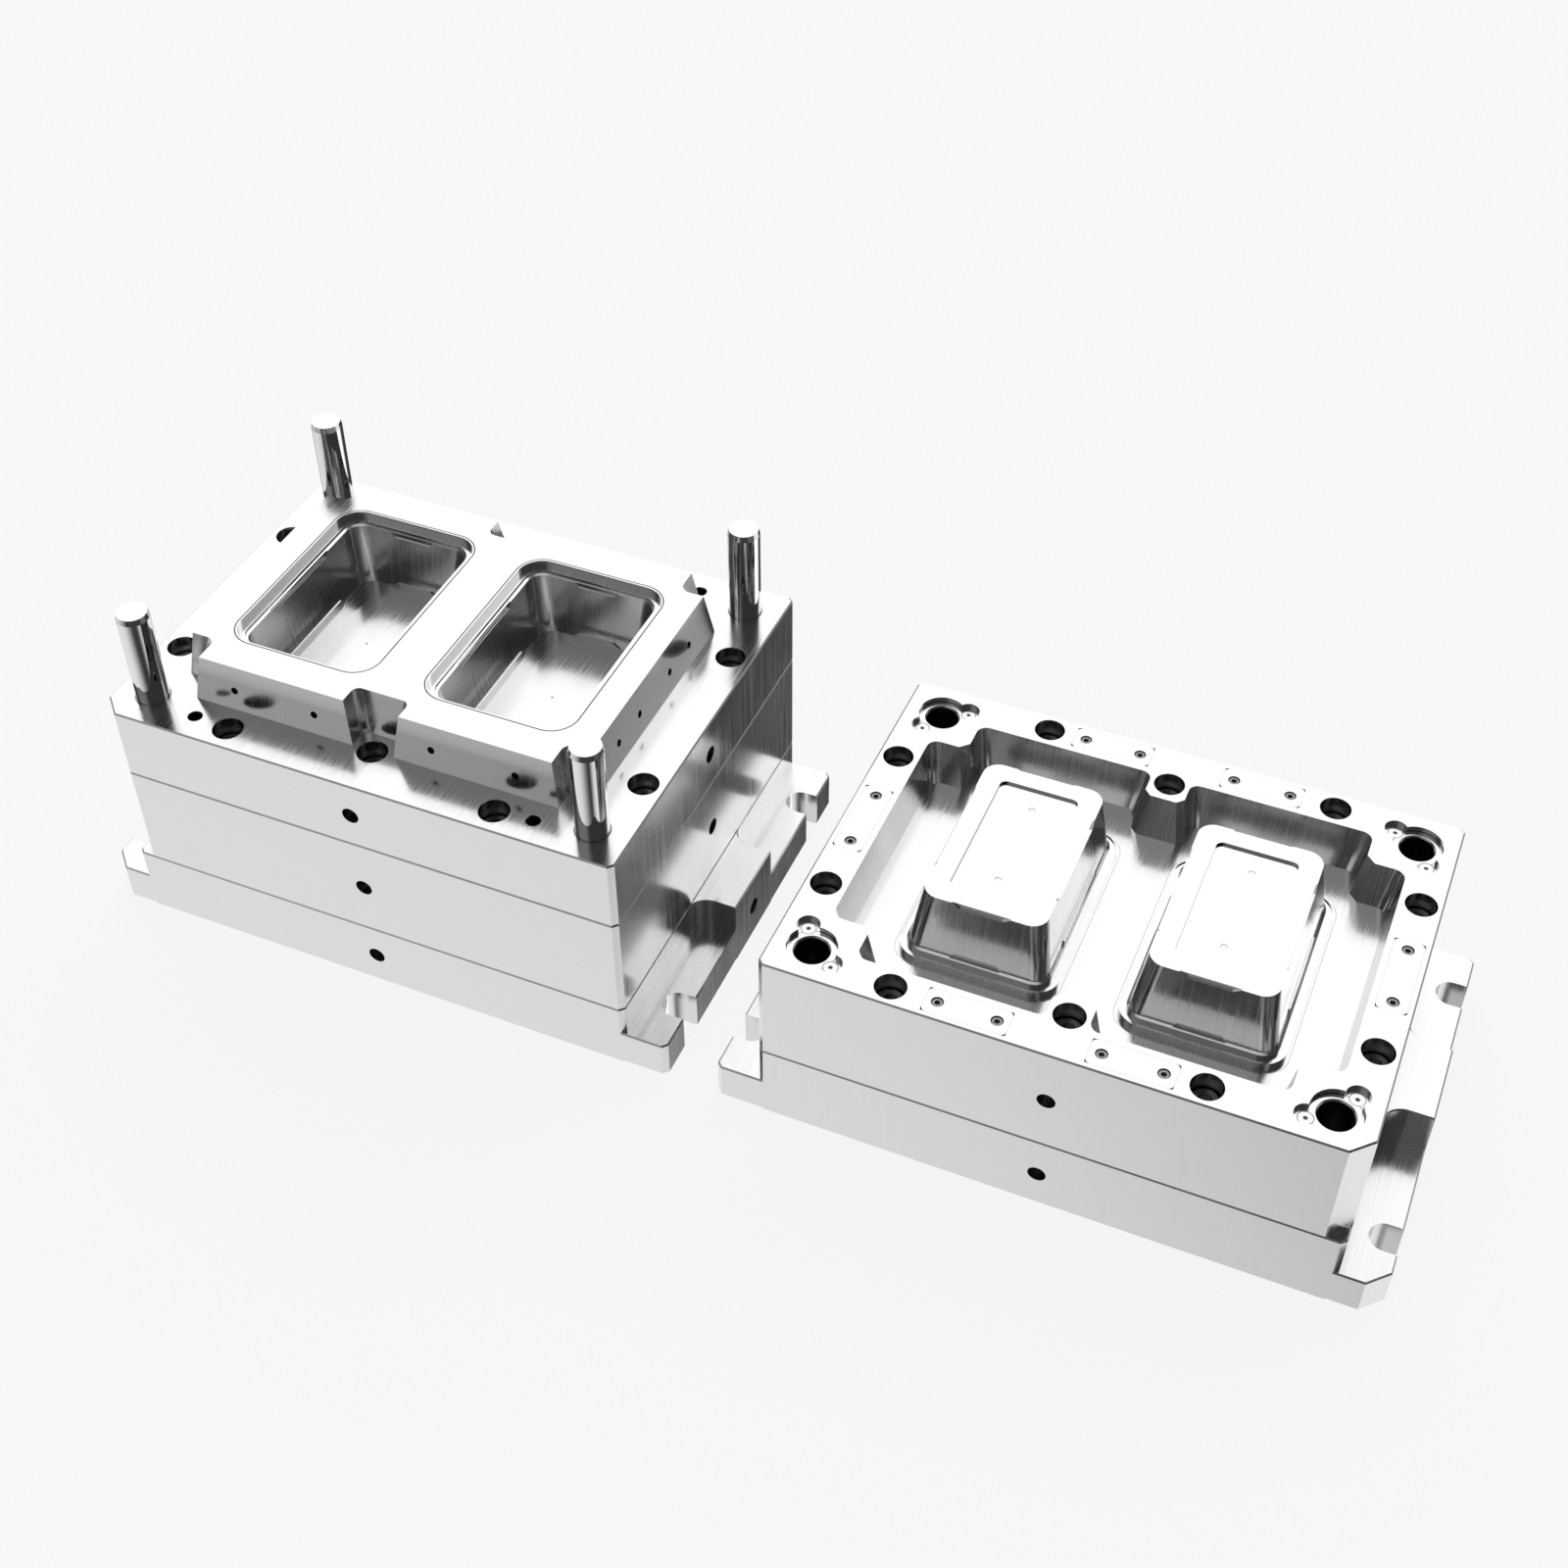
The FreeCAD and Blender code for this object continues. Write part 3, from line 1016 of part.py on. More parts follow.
def make_core_plate():
    thickness = size.core_plate_thickness
    body = make_plate("core_plate", thickness, CORE_CORNERS)
    upper = start_sketch(body, "Pocket_mouth", thickness)
    mouth = pocket_outline(as_size(0))
    draw_outline(upper, four_fold(mouth))
    lower = start_sketch(body, "Pocket_floor", pocket_floor)
    floor = pocket_outline(size.interlock_draft)
    draw_outline(lower, four_fold(floor))
    pocket = loft(body, "PartDesign::SubtractiveLoft", upper, lower, "Interlock_pocket")
    doc.recompute()
    for name, points, radius in (("Pocket_corner_rounds", (0, 3), size.pocket_corner_radius),
                                 ("Pocket_middle_rounds", (4,), size.pocket_mid_radius)):
        edges = []
        for point in points:
            for sx, sy in FOUR_CORNERS:
                edges.append(edge_between(pocket.Shape,
                                          (sx * mouth[point][0], sy * mouth[point][1], thickness),
                                          (sx * floor[point][0], sy * floor[point][1], pocket_floor)))
        pocket = dress(body, "PartDesign::Fillet", pocket, edges, radius, name)
        doc.recompute()

    flange_x = size.rim_half_x - size.ring_clearance + size.flange_margin
    flange_y = size.rim_half_y - size.ring_clearance + size.flange_margin
    seats = start_sketch(body, "Core_seats_outline", pocket_floor)
    for x in core_places:
        draw_rounded_box(seats, x, 0, flange_x + size.ring_fit, flange_y + size.ring_fit, size.flange_radius)
    seated = cut(body, seats, size.flange_height, "Core_seats")
    middles = [(x, as_size(0)) for x in core_places]
    break_mouths(body, seated, pocket_floor, middles, flange_y + size.flange_radius, size.seat_edge_break,
                 "Core_seat_mouths")

    counterbored(body, "Bolt", core_bolts, thickness, thickness, size.bolt_radius, size.bolt_hole_room,
                 size.bolt_recess_radius, size.bolt_recess_depth)
    fixings = [(x + centre, y) for centre in core_places for x, y in core_fixings]
    bore(body, "Core_fixing_holes", fixings, size.core_bolt_radius + size.core_bolt_room, 0, core_seat,
         upward=True)
    bore(body, "Core_fixing_recesses", fixings, size.core_bolt_recess_radius, 0, size.core_bolt_recess,
         upward=True)

    bore(body, "Bush_vents", guide_places, size.bush_vent_radius, thickness, thickness)
    bore(body, "Bush_bores", guide_places, size.bush_radius + size.pin_fit, thickness,
         size.bush_sink + size.bush_length)
    bore(body, "Bush_recesses", guide_places, size.bush_recess_radius, thickness,
         size.bush_sink + size.bush_flange_height)
    head_seat = size.bush_sink + size.bush_screw_head_height
    bore(body, "Screw_lobes", bush_screws, size.lobe_radius, thickness, size.bush_sink)
    bore(body, "Bush_screw_seats", bush_screws, size.bush_screw_head_radius + size.bush_screw_head_room,
         thickness, head_seat)
    bore(body, "Bush_screw_taps", bush_screws, size.bush_screw_radius + size.thread_room, thickness,
         head_seat + size.bush_screw_grip + size.tap_runout)

    for name, places, half_x, half_y in (
            ("End_pad_seats", end_pads, size.end_pad_length / 2, size.pad_width / 2),
            ("Side_pad_seats", side_pads, size.pad_width / 2, size.side_pad_length / 2)):
        sketch = start_sketch(body, name + "_outline", thickness)
        for x, y in places:
            draw_rounded_box(sketch, x, y, half_x + size.pad_fit, half_y + size.pad_fit, size.pad_seat_radius)
        cut(body, sketch, size.pad_thickness, name)
    bore(body, "Pad_screw_taps", end_pad_screws + side_pad_screws, size.pad_screw_radius + size.thread_room,
         thickness, size.pad_thickness + size.pad_screw_grip + size.tap_runout)
    finish_node(body, "core_plate", half_spacing, 0, size.core_clamp_thickness)


def make_cores():
    """The two cores, each with its flange, ring, moulding form and poppet seats in one piece."""
    ring_x = size.rim_half_x - size.ring_clearance
    ring_y = size.rim_half_y - size.ring_clearance
    ring_radius = size.rim_radius - size.ring_clearance
    base = size.flange_height
    for side_name, x in zip(("left", "right"), core_places):
        body = new_body(f"{side_name}_core")
        sketch = start_sketch(body, "Flange_outline")
        draw_rounded_box(sketch, 0, 0, ring_x + size.flange_margin, ring_y + size.flange_margin,
                         size.flange_radius - size.ring_fit)
        pad(body, sketch, base, "Flange")
        sketch = start_sketch(body, "Ring_outline", base)
        draw_rounded_box(sketch, 0, 0, ring_x, ring_y, ring_radius)
        pad(body, sketch, size.rim_depth, "Ring")
        sketch = start_sketch(body, "Rim_groove_outline", base + size.rim_depth)
        draw_rounded_box(sketch, 0, 0, ring_x - size.rim_land, ring_y - size.rim_land,
                         ring_radius - size.rim_land)
        cut(body, sketch, size.rim_lip, "Rim_groove")
        moulded_form(body, base, size.rim_depth - size.rim_lip, grown=False)
        bore(body, "Air_bores", poppet_places, size.poppet_chamber_radius, 0,
             core_panel - size.poppet_head_radius - size.poppet_guide, upward=True)
        bore(body, "Fixing_taps", core_fixings, size.core_bolt_radius + size.thread_room, 0,
             size.core_bolt_grip + size.tap_runout, upward=True)
        seats = start_sketch(body, "Poppet_seats_centres", core_panel)
        draw_circles(seats, poppet_places, size.poppet_stem_radius + size.poppet_fit)
        doc.recompute()
        hole = body.newObject("PartDesign::Hole", "Poppet_seats")
        hole.Profile = (seats, [""])
        hole.Threaded = False
        hole.ThreadType = "None"
        bind(hole, "Diameter", (size.poppet_stem_radius + size.poppet_fit) * 2)
        hole.DepthType = "Dimension"
        bind(hole, "Depth", size.poppet_head_radius + size.poppet_guide + size.poppet_runout)
        hole.DrillPoint = "Flat"
        hole.HoleCutType = "Countersink"
        bind(hole, "HoleCutDiameter", (size.poppet_head_radius + size.poppet_fit) * 2)
        hole.HoleCutCountersinkAngle = 90
        finish_node(body, f"{side_name}_core", half_spacing + x, 0, size.core_clamp_thickness + core_seat)


def make_bushes():
    """Flanged guide bushes, sunk in the core plate, and the screws whose heads hold their flanges down."""
    inner = size.pin_radius + size.guide_fit
    length = size.bush_length
    top = size.core_clamp_thickness + size.core_plate_thickness - size.bush_sink
    for count, (x, y) in enumerate(guide_places, start=1):
        body = new_body(f"guide_bush_{count}")
        turn(body, [(inner, 0), (size.bush_radius, 0), (size.bush_radius, length - size.bush_flange_height),
                    (size.bush_flange_radius, length - size.bush_flange_height),
                    (size.bush_flange_radius, length), (inner + size.bush_mouth, length),
                    (inner, length - size.bush_mouth)], "Bush")
        bore(body, "Screw_notches", screws_round_bush(*FOUR_CORNERS[count - 1]),
             size.bush_screw_head_radius + size.bush_screw_head_room, length, size.bush_screw_head_height)
        finish_node(body, f"guide_bush_{count}", half_spacing + x, y, top - length)

    screw = cap_screw("bush_screw_one", size.bush_screw_radius, size.bush_screw_head_radius,
                      size.bush_screw_head_height, size.bush_screw_socket, size.bush_screw_socket_depth,
                      size.bush_screw_grip, size.bush_screw_head_edge)
    group("bush_screws", screw, bush_screws, top - size.bush_screw_head_height, half_spacing)


def make_wear_pads():
    """Flush wear pads let into the core plate, each held by two screws."""
    thickness = size.pad_thickness
    base = size.core_clamp_thickness + size.core_plate_thickness - thickness
    count = 0
    for places, half_x, half_y, pitch_x, pitch_y in (
            (end_pads, size.end_pad_length / 2, size.pad_width / 2, size.end_pad_pitch, as_size(0)),
            (side_pads, size.pad_width / 2, size.side_pad_length / 2, as_size(0), size.side_pad_pitch)):
        for x, y in places:
            count += 1
            body = new_body(f"wear_pad_{count}")
            sketch = start_sketch(body, "Pad_outline")
            draw_rounded_box(sketch, 0, 0, half_x, half_y, size.pad_radius)
            pad(body, sketch, thickness, "Pad")
            screws = [(side * pitch_x / 2, side * pitch_y / 2) for side in SIDES]
            counterbored(body, "Screw", screws, thickness, thickness, size.pad_screw_radius,
                         size.pad_screw_room, size.pad_screw_recess_radius, size.pad_screw_recess_depth)
            finish_node(body, f"wear_pad_{count}", half_spacing + x, y, base)

    length = thickness - size.pad_screw_recess_depth + size.pad_screw_grip
    screw = cap_screw("pad_screw_one", size.pad_screw_radius, size.pad_screw_head_radius,
                      size.pad_screw_head_height, size.pad_screw_socket, size.pad_screw_head_height / 2,
                      length, size.pad_screw_room)
    group("wear_pad_screws", screw, end_pad_screws + side_pad_screws,
          base + thickness - size.pad_screw_recess_depth, half_spacing)


def make_core_fixings():
    """The cap screws that pull each core down into its seat, from under the core plate."""
    length = core_seat - size.core_bolt_recess + size.core_bolt_grip
    screw = cap_screw("core_fixing_one", size.core_bolt_radius, size.core_bolt_head_radius,
                      size.core_bolt_head_height, size.core_bolt_socket, size.core_bolt_head_height / 2,
                      length, size.bolt_head_edge)
    flipped = doc.addObject("App::Link", "core_fixing_up")
    flipped.LinkedObject = screw
    flipped.Placement.Rotation = Rotation(Vector(1, 0, 0), 180)
    places = [(x + centre, y) for centre in core_places for x, y in core_fixings]
    group("core_fixing_bolts", upright(flipped, "core_fixing_turned"), places,
          size.core_clamp_thickness + size.core_bolt_recess, half_spacing)


def make_poppets():
    """Spring-closed air valves in the cores' tops: poppet, spring and nut."""
    head = size.poppet_head_radius
    stem = size.poppet_stem_radius
    cone = head - stem
    guide_end = head + size.poppet_guide
    spring_end = guide_end + size.spring_length
    stem_end = spring_end + size.nut_height
    panel = size.core_clamp_thickness + core_seat + core_panel
    count = 0
    for centre in core_places:
        for x, y in poppet_places:
            count += 1
            at_x = half_spacing + centre + x
            body = new_body(f"air_poppet_{count}")
            turn(body, [(0, -stem_end), (stem, -stem_end), (stem, -cone), (head, 0), (0, 0)], "Poppet")
            finish_node(body, f"air_poppet_{count}", at_x, y, panel)

            body = new_body(f"poppet_spring_{count}")
            inner = stem + size.spring_room
            turn(body, [(inner, -spring_end), (inner + size.spring_wire, -spring_end),
                        (inner + size.spring_wire, -guide_end), (inner, -guide_end)], "Spring")
            finish_node(body, f"poppet_spring_{count}", at_x, y, panel)

            body = new_body(f"poppet_nut_{count}")
            turn(body, [(stem, -stem_end), (size.nut_radius, -stem_end), (size.nut_radius, -spring_end),
                        (stem, -spring_end)], "Nut")
            finish_node(body, f"poppet_nut_{count}", at_x, y, panel)


make_cavity_clamp_plate()
make_hot_runner_plate()
make_cavity_plate()
make_guide_pins()
make_plate_bolts()
make_hot_runner()
make_core_clamp_plate()
make_core_plate()
make_cores()
make_bushes()
make_wear_pads()
make_core_fixings()
make_poppets()
doc.recompute()

# Everything must be sound before anything is written

for item in doc.Objects:
    if {"Invalid", "Error"} & set(item.State):
        raise RuntimeError(f"{item.Label} failed: {item.State}")
    if item.TypeId in ("PartDesign::Pocket", "PartDesign::Hole", "PartDesign::SubtractiveLoft"):
        if item.Shape.Volume > item.BaseFeature.Shape.Volume - NEAR:
            raise RuntimeError(f"{item.getParentGeoFeatureGroup().Label} {item.Label} cuts nothing")

for node in nodes:
    if node.Shape.isNull() or not node.Shape.isValid():
        raise RuntimeError(f"{node.Label} has no sound shape")

for node in nodes:
    node.Shape.exportStep(f"parts/{node.Label}.step")

whole = Part.makeCompound([node.Shape for node in nodes])
box = whole.BoundBox
print(f"{len(nodes)} nodes, {len(whole.Solids)} solids")
for axis in "XYZ":
    print(f"{axis} {getattr(box, axis + 'Min'):.1f} to {getattr(box, axis + 'Max'):.1f}")
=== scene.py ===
# %% [markdown]
# A container mould in two halves, standing open side by side.
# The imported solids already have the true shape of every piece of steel. This script gives them
# their finishes, adds the knurling on the cap screws, which is too fine for the solids, turns the
# four air poppets again, and sets the light, the floor and the camera.

import json
import math

import bmesh
import bpy
from mathutils import Euler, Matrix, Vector


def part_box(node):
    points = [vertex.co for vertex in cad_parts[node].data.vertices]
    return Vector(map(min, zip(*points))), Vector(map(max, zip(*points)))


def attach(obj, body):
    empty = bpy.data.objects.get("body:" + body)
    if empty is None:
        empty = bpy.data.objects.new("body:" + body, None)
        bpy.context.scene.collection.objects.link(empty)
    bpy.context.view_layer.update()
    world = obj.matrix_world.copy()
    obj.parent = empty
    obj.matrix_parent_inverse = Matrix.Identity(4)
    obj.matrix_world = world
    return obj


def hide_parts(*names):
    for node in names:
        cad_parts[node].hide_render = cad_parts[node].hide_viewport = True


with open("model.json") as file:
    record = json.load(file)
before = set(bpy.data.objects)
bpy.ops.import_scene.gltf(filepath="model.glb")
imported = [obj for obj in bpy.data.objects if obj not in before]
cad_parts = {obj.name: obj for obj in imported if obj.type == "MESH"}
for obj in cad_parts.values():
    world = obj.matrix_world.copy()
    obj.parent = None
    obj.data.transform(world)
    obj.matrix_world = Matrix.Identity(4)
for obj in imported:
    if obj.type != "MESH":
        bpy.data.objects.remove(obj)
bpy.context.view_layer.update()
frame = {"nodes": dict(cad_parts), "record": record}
nodes = frame["nodes"]
print("pieces in the frame:", len(nodes))

# %% [markdown]
# The camera looks down on both halves from the front right, from about two and a half metres.
# Its place and lens were worked out once from the straight edges of the plates, whose sizes are
# known, so that the render and the picture can be compared edge by edge.

# %% Camera
CAMERA_PLACE = Vector((0.5999, -1.3869, 1.6497))
CAMERA_LOOK_DOWN = math.radians(43.485)
CAMERA_TURN = math.radians(23.077)
CAMERA_ROLL = math.radians(0.051)
FOCAL_PIXELS = 2218.15
PICTURE_PIXELS = 1600
SENSOR = 36.0
SIGHT = 100.0

camera_data = bpy.data.cameras.new("camera")
camera_data.sensor_width = SENSOR
camera_data.lens = SENSOR * FOCAL_PIXELS / PICTURE_PIXELS
camera_data.clip_end = SIGHT
camera = bpy.data.objects.new("camera", camera_data)
bpy.context.scene.collection.objects.link(camera)
camera.location = CAMERA_PLACE
camera.rotation_euler = Euler((math.radians(90) - CAMERA_LOOK_DOWN, CAMERA_ROLL, CAMERA_TURN), "XYZ")
bpy.context.scene.camera = camera
print("lens:", round(camera_data.lens, 2), "mm")

# %% [markdown]
# Finishes, the studio's light and the knurling are all small trees of nodes. Written node by
# node such a tree is hard to read, so one class holds a tree and makes any node in it, and
# another wraps a node's output, so that sums and products of outputs add the Math nodes.

# %% Trees of nodes that read like sums


class Wire:
    """One output of a node, which takes part in sums like a number."""

    def __init__(self, tree, socket):
        self.tree = tree
        self.socket = socket

    def math(self, operation, *values):
        return self.tree.make("ShaderNodeMath", *values, settings={"operation": operation})

    def __add__(self, other):
        return self.math("ADD", self, other)

    def __sub__(self, other):
        return self.math("SUBTRACT", self, other)

    def __rsub__(self, other):
        return self.math("SUBTRACT", other, self)

    def __mul__(self, other):
        return self.math("MULTIPLY", self, other)

    __radd__ = __add__
    __rmul__ = __mul__


class Tree:
    """A tree of nodes, with one method that makes any node."""

    def __init__(self, node_tree):
        self.node_tree = node_tree
        node_tree.nodes.clear()

    def make(self, kind, *in_order, settings=None, output=0, **by_name):
        """Adds a node: its settings first, then the values or wires of its sockets."""
        node = self.node_tree.nodes.new(kind)
        for name, value in (settings or {}).items():
            if name == "stops":
                self.set_stops(node.color_ramp.elements, value)
            else:
                setattr(node, name, value)
        sockets = list(zip(node.inputs, in_order))
        sockets += [(node.inputs[name.replace("_", " ")], value) for name, value in by_name.items()]
        for socket, value in sockets:
            if isinstance(value, Wire):
                self.node_tree.links.new(value.socket, socket)
            else:
                socket.default_value = value
        return Wire(self, node.outputs[output]) if node.outputs else node

    @staticmethod
    def set_stops(elements, stops):
        """Gives a ramp its greys: stops are (place, grey)."""
        while len(elements) < len(stops):
            elements.new(0.5)
        for element, (place, grey) in zip(elements, stops):
            element.position = place
            element.color = (grey, grey, grey, 1)


def new_finish(name):
    """An empty material and its tree."""
    material = bpy.data.materials.new(name)
    material.use_nodes = True
    return material, Tree(material.node_tree)


# %% [markdown]
# Steel from a grinder or a mill carries fine parallel lines. On the plates' upright faces they
# run up and down, and on flat faces across the plate. Pins and bushes are turned, so theirs run
# round. A noise that is fine across the lines and long along them gives such lines. Which of
# the piece's own directions is across and which is along follows from the way a face looks.

# %% Lines of the grinder
LINES_PER_METRE = 650.0
LINE_LENGTH = 0.15
FLAT_FROM = 0.7
NOISE_DETAIL = 2.0


def line_noise(tree, across, along):
    """Noise that is fine across the lines and long along them, 0 to 1."""
    place = tree.make("ShaderNodeCombineXYZ", across * LINES_PER_METRE, along * (1 / LINE_LENGTH))
    return tree.make("ShaderNodeTexNoise", Vector=place, Scale=1.0, Detail=NOISE_DETAIL)


def parts_of(tree, vector):
    """The three numbers of a vector."""
    return [tree.make("ShaderNodeSeparateXYZ", vector, output=number) for number in range(3)]


def ground_lines(tree, place):
    """Fine lines: up and down on walls, along Y on flat faces."""
    x, y, z = parts_of(tree, place)
    looks = tree.make("ShaderNodeNewGeometry", output=1)
    looks_x, looks_y, looks_z = [part.math("ABSOLUTE", part) for part in parts_of(tree, looks)]
    flat = looks_z.math("GREATER_THAN", looks_z, FLAT_FROM)
    sideways = looks_x.math("GREATER_THAN", looks_x, looks_y)
    across = x + (y - x) * sideways * (1 - flat)
    along = z + (y - z) * flat
    return line_noise(tree, across, along)


def turned_lines(tree, place):
    """Fine rings round an upright axis."""
    x, y, z = parts_of(tree, place)
    return line_noise(tree, z, x + y)


print("lines are", round(1000 / LINES_PER_METRE, 2), "mm apart and", round(1000 * LINE_LENGTH), "mm long")

# %% [markdown]
# Each core's top has a shallow panel, and its left wall is a dark line in the picture. The steel there would
# mirror the white panel beside it, so painted shade turns that wall's colour nearly black. The wall is found
# from where a point of the steel lies and which way it faces, and nothing is cut.

# %% Painted shade on the panels' left walls
PANEL_HALVES = (0.039, 0.076)
PANEL_DEPTH = 0.003
FACES_RIGHT = 0.3


def panel_wall_painted_shade(tree, place):
    """1 on the left wall of the panel in each core's top, where shade is painted, 0 elsewhere."""
    x, y, z = parts_of(tree, place)
    looks_x = parts_of(tree, tree.make("ShaderNodeNewGeometry", output=1))[0]
    walls = 0.0
    for node in ("left_core", "right_core"):
        low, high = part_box(node)
        offsets = (x - (low[0] + high[0]) / 2, y - (low[1] + high[1]) / 2)
        inside = z.math("GREATER_THAN", z, high[2] - PANEL_DEPTH)
        for offset, half in zip(offsets, PANEL_HALVES):
            inside = inside * offset.math("LESS_THAN", offset.math("ABSOLUTE", offset), half)
        walls = inside + walls
    return walls * looks_x.math("GREATER_THAN", looks_x, FACES_RIGHT)


print("panels are looked for within", [2000 * half for half in PANEL_HALVES], "mm")

# %% [markdown]
# The picture also has a fine dark line round each cavity's mouth, where the sealing face ends in a shallow
# step whose wall lies in shade. It is painted shade, drawn in the same way. The distance to a rounded outline
# is a sum: how far a point lies beyond the straight sides, less the radius of the corners.

# %% Lines of painted shade round the cavities
CAVITY_APART = 0.105
MOUTH_HALVES = (0.0773, 0.1123)
MOUTH_CORNER = 0.025
SHADE_LINE_AWAY = 0.0022
SHADE_LINE_WIDTH = 0.0012
TOP_SKIN = 0.0005


def painted_shade_mouth_lines(tree, place):
    """1 on the fine line of painted shade round each cavity's mouth, 0 elsewhere."""
    x, y, z = parts_of(tree, place)
    low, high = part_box("cavity_plate")
    lines = 0.0
    for side in (-1, 1):
        middle_x = (low[0] + high[0]) / 2 + side * CAVITY_APART
        reach = []
        for offset, half in zip((x - middle_x, y), MOUTH_HALVES):
            beyond = offset.math("ABSOLUTE", offset) - (half - MOUTH_CORNER)
            reach.append(beyond.math("MAXIMUM", beyond, 0.0))
        squares = reach[0] * reach[0] + reach[1] * reach[1]
        away = squares.math("SQRT", squares) - MOUTH_CORNER
        lines = away.math("COMPARE", away, SHADE_LINE_AWAY, SHADE_LINE_WIDTH / 2) + lines
    return lines * z.math("GREATER_THAN", z, high[2] - TOP_SKIN)


# The fine lines round the cavities' mouths, whose width this prints, are painted shade.
print("scribed lines are", 1000 * SHADE_LINE_WIDTH, "mm wide")

# %% [markdown]
# One recipe makes every steel here: a grey metal whose gloss, colour and height all follow the same lines,
# with a slow cloud over them because no surface is even. Only the numbers differ: plates are ground, cavities
# and cores polished, pins almost mirrors, screws blackened. Where a mask is given, painted shade turns the
# colour nearly black on it, with the gloss left as it is.

# %% Recipe for steel
LINE_HEIGHT = 0.00002
CLOUD_SCALE = 14.0
CLOUD_SHARE = 0.3
CLOUD_GLOSS = 0.1
DARKER_BELOW = 0.25
LIGHTER_ABOVE = 0.75
# The ramp's first grey, nearly black: the colour of the painted shade on masked walls and lines.
PAINTED_SHADE_GREY = 0.02


def steel(name, grey, roughness, lines=ground_lines, relief=0.6, gloss_change=0.3, uneven=0.02, painted_shade=None):
    """A metal with fine lines in its height, its gloss and faintly in its colour."""
    material, tree = new_finish(name)
    place = tree.make("ShaderNodeTexCoord", output=3)
    line = lines(tree, place)
    cloud = tree.make("ShaderNodeTexNoise", Vector=place, Scale=CLOUD_SCALE, Detail=NOISE_DETAIL)
    mixed = line * (1 - CLOUD_SHARE) + cloud * CLOUD_SHARE
    # Painted shade: where the mask is 1, the colour drops to the nearly black first grey.
    if painted_shade:
        mixed = mixed - painted_shade(tree, place)
    greys = [(0.0, PAINTED_SHADE_GREY), (DARKER_BELOW, grey - uneven), (LIGHTER_ABOVE, grey + uneven)]
    shade = tree.make("ShaderNodeValToRGB", mixed, settings={"stops": greys})
    gloss = (line - 0.5) * gloss_change + (cloud - 0.5) * CLOUD_GLOSS + roughness
    bump = tree.make("ShaderNodeBump", Height=line, Strength=relief, Distance=LINE_HEIGHT)
    surface = tree.make("ShaderNodeBsdfPrincipled", Base_Color=shade, Metallic=1.0, Roughness=gloss,
                        Normal=bump)
    tree.make("ShaderNodeOutputMaterial", Surface=surface)
    return material


print("lines stand", 1000 * LINE_HEIGHT, "mm high")

# %% [markdown]
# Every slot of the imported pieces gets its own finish. A lower roughness gives a clearer mirror,
# and a darker grey an oiled or blackened piece. The screws of the guide bushes are bright, so
# they have a finish besides the one of their slot.

# %% Steel finishes
finishes = {
    "plate_steel": steel("ground plate", 0.62, 0.20),
    # The cavity plate gets painted shade on a fine line round each cavity's mouth.
    "cavity_steel": steel("polished cavity plate", 0.62, 0.18, painted_shade=painted_shade_mouth_lines),
    "core_plate_steel": steel("ground core plate", 0.62, 0.19),
    # The cores get painted shade on the left wall of each panel.
    "core_steel": steel("polished core", 0.62, 0.16, painted_shade=panel_wall_painted_shade),
    "pin_steel": steel("mirror pin", 0.62, 0.07, lines=turned_lines, relief=0.05, gloss_change=0.02),
    "bush_steel": steel("turned bush", 0.62, 0.16, lines=turned_lines, relief=0.2),
    "pad_steel": steel("ground wear pad", 0.63, 0.19),
    "bolt_steel": steel("blackened screw", 0.22, 0.30, lines=turned_lines, relief=0.3),
    "runner_steel": steel("machined runner", 0.55, 0.28),
    "poppet_steel": steel("turned poppet", 0.62, 0.16, lines=turned_lines, relief=0.2),
}
bright_screw = steel("bright screw", 0.60, 0.18, lines=turned_lines, relief=0.2)
for part in frame["record"]["subparts"]:
    slots = nodes[part["node"]].data.materials
    slots.clear()
    slots.append(bright_screw if part["node"] == "bush_screws" else finishes[part["material_slot"]])
print("finishes:", ", ".join(finishes))

# %% [markdown]
# The heads of the large cap screws are knurled: fine upright ribs stand all round them, for the
# fingers. They repeat by the hundred, so Geometry Nodes place them. One three-sided rod is set
# round a circle, the circle is set on every head, and the copies are made real, because the
# export keeps no instances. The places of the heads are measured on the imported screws.

# %% Where the heads of the cap screws are
HEAD_HEIGHT = 0.018
JOIN_WITHIN = 0.000001
KNURLED_NODES = ("cavity_plate_bolts", "core_plate_bolts")


def merged_copy(node):
    """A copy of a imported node's mesh whose loose triangles are joined."""
    shell = bmesh.new()
    shell.from_mesh(node.data)
    shell.transform(node.matrix_world)
    bmesh.ops.remove_doubles(shell, verts=shell.verts, dist=JOIN_WITHIN)
    return shell


def head_places(node):
    """The middle of every screw's head, at the head's foot."""
    shell = merged_copy(node)
    left = set(shell.verts)
    places = []
    while left:
        wave = [left.pop()]
        screw = []
        while wave:
            vertex = wave.pop()
            screw.append(vertex.co.copy())
            for edge in vertex.link_edges:
                neighbour = edge.other_vert(vertex)
                if neighbour in left:
                    left.remove(neighbour)
                    wave.append(neighbour)
        lows = [min(corner[axis] for corner in screw) for axis in range(3)]
        highs = [max(corner[axis] for corner in screw) for axis in range(3)]
        places.append(((lows[0] + highs[0]) / 2, (lows[1] + highs[1]) / 2, highs[2] - HEAD_HEIGHT))
    shell.free()
    return sorted(places)


heads = [place for name in KNURLED_NODES for place in head_places(nodes[name])]
print("cap screw heads found:", len(heads))

# %% [markdown]
# The group takes points, one at each head's foot, and four sizes. It leaves a fine broken edge
# free above and below the ribs, as on a real head, and the ribs turn one corner outwards.

# %% The tree of the knurling
HEAD_RADIUS = 0.0135
HEAD_EDGE = 0.001
RIBS_ROUND = 60
RIB_SIZE = 0.00045
RIB_SIDES = 3


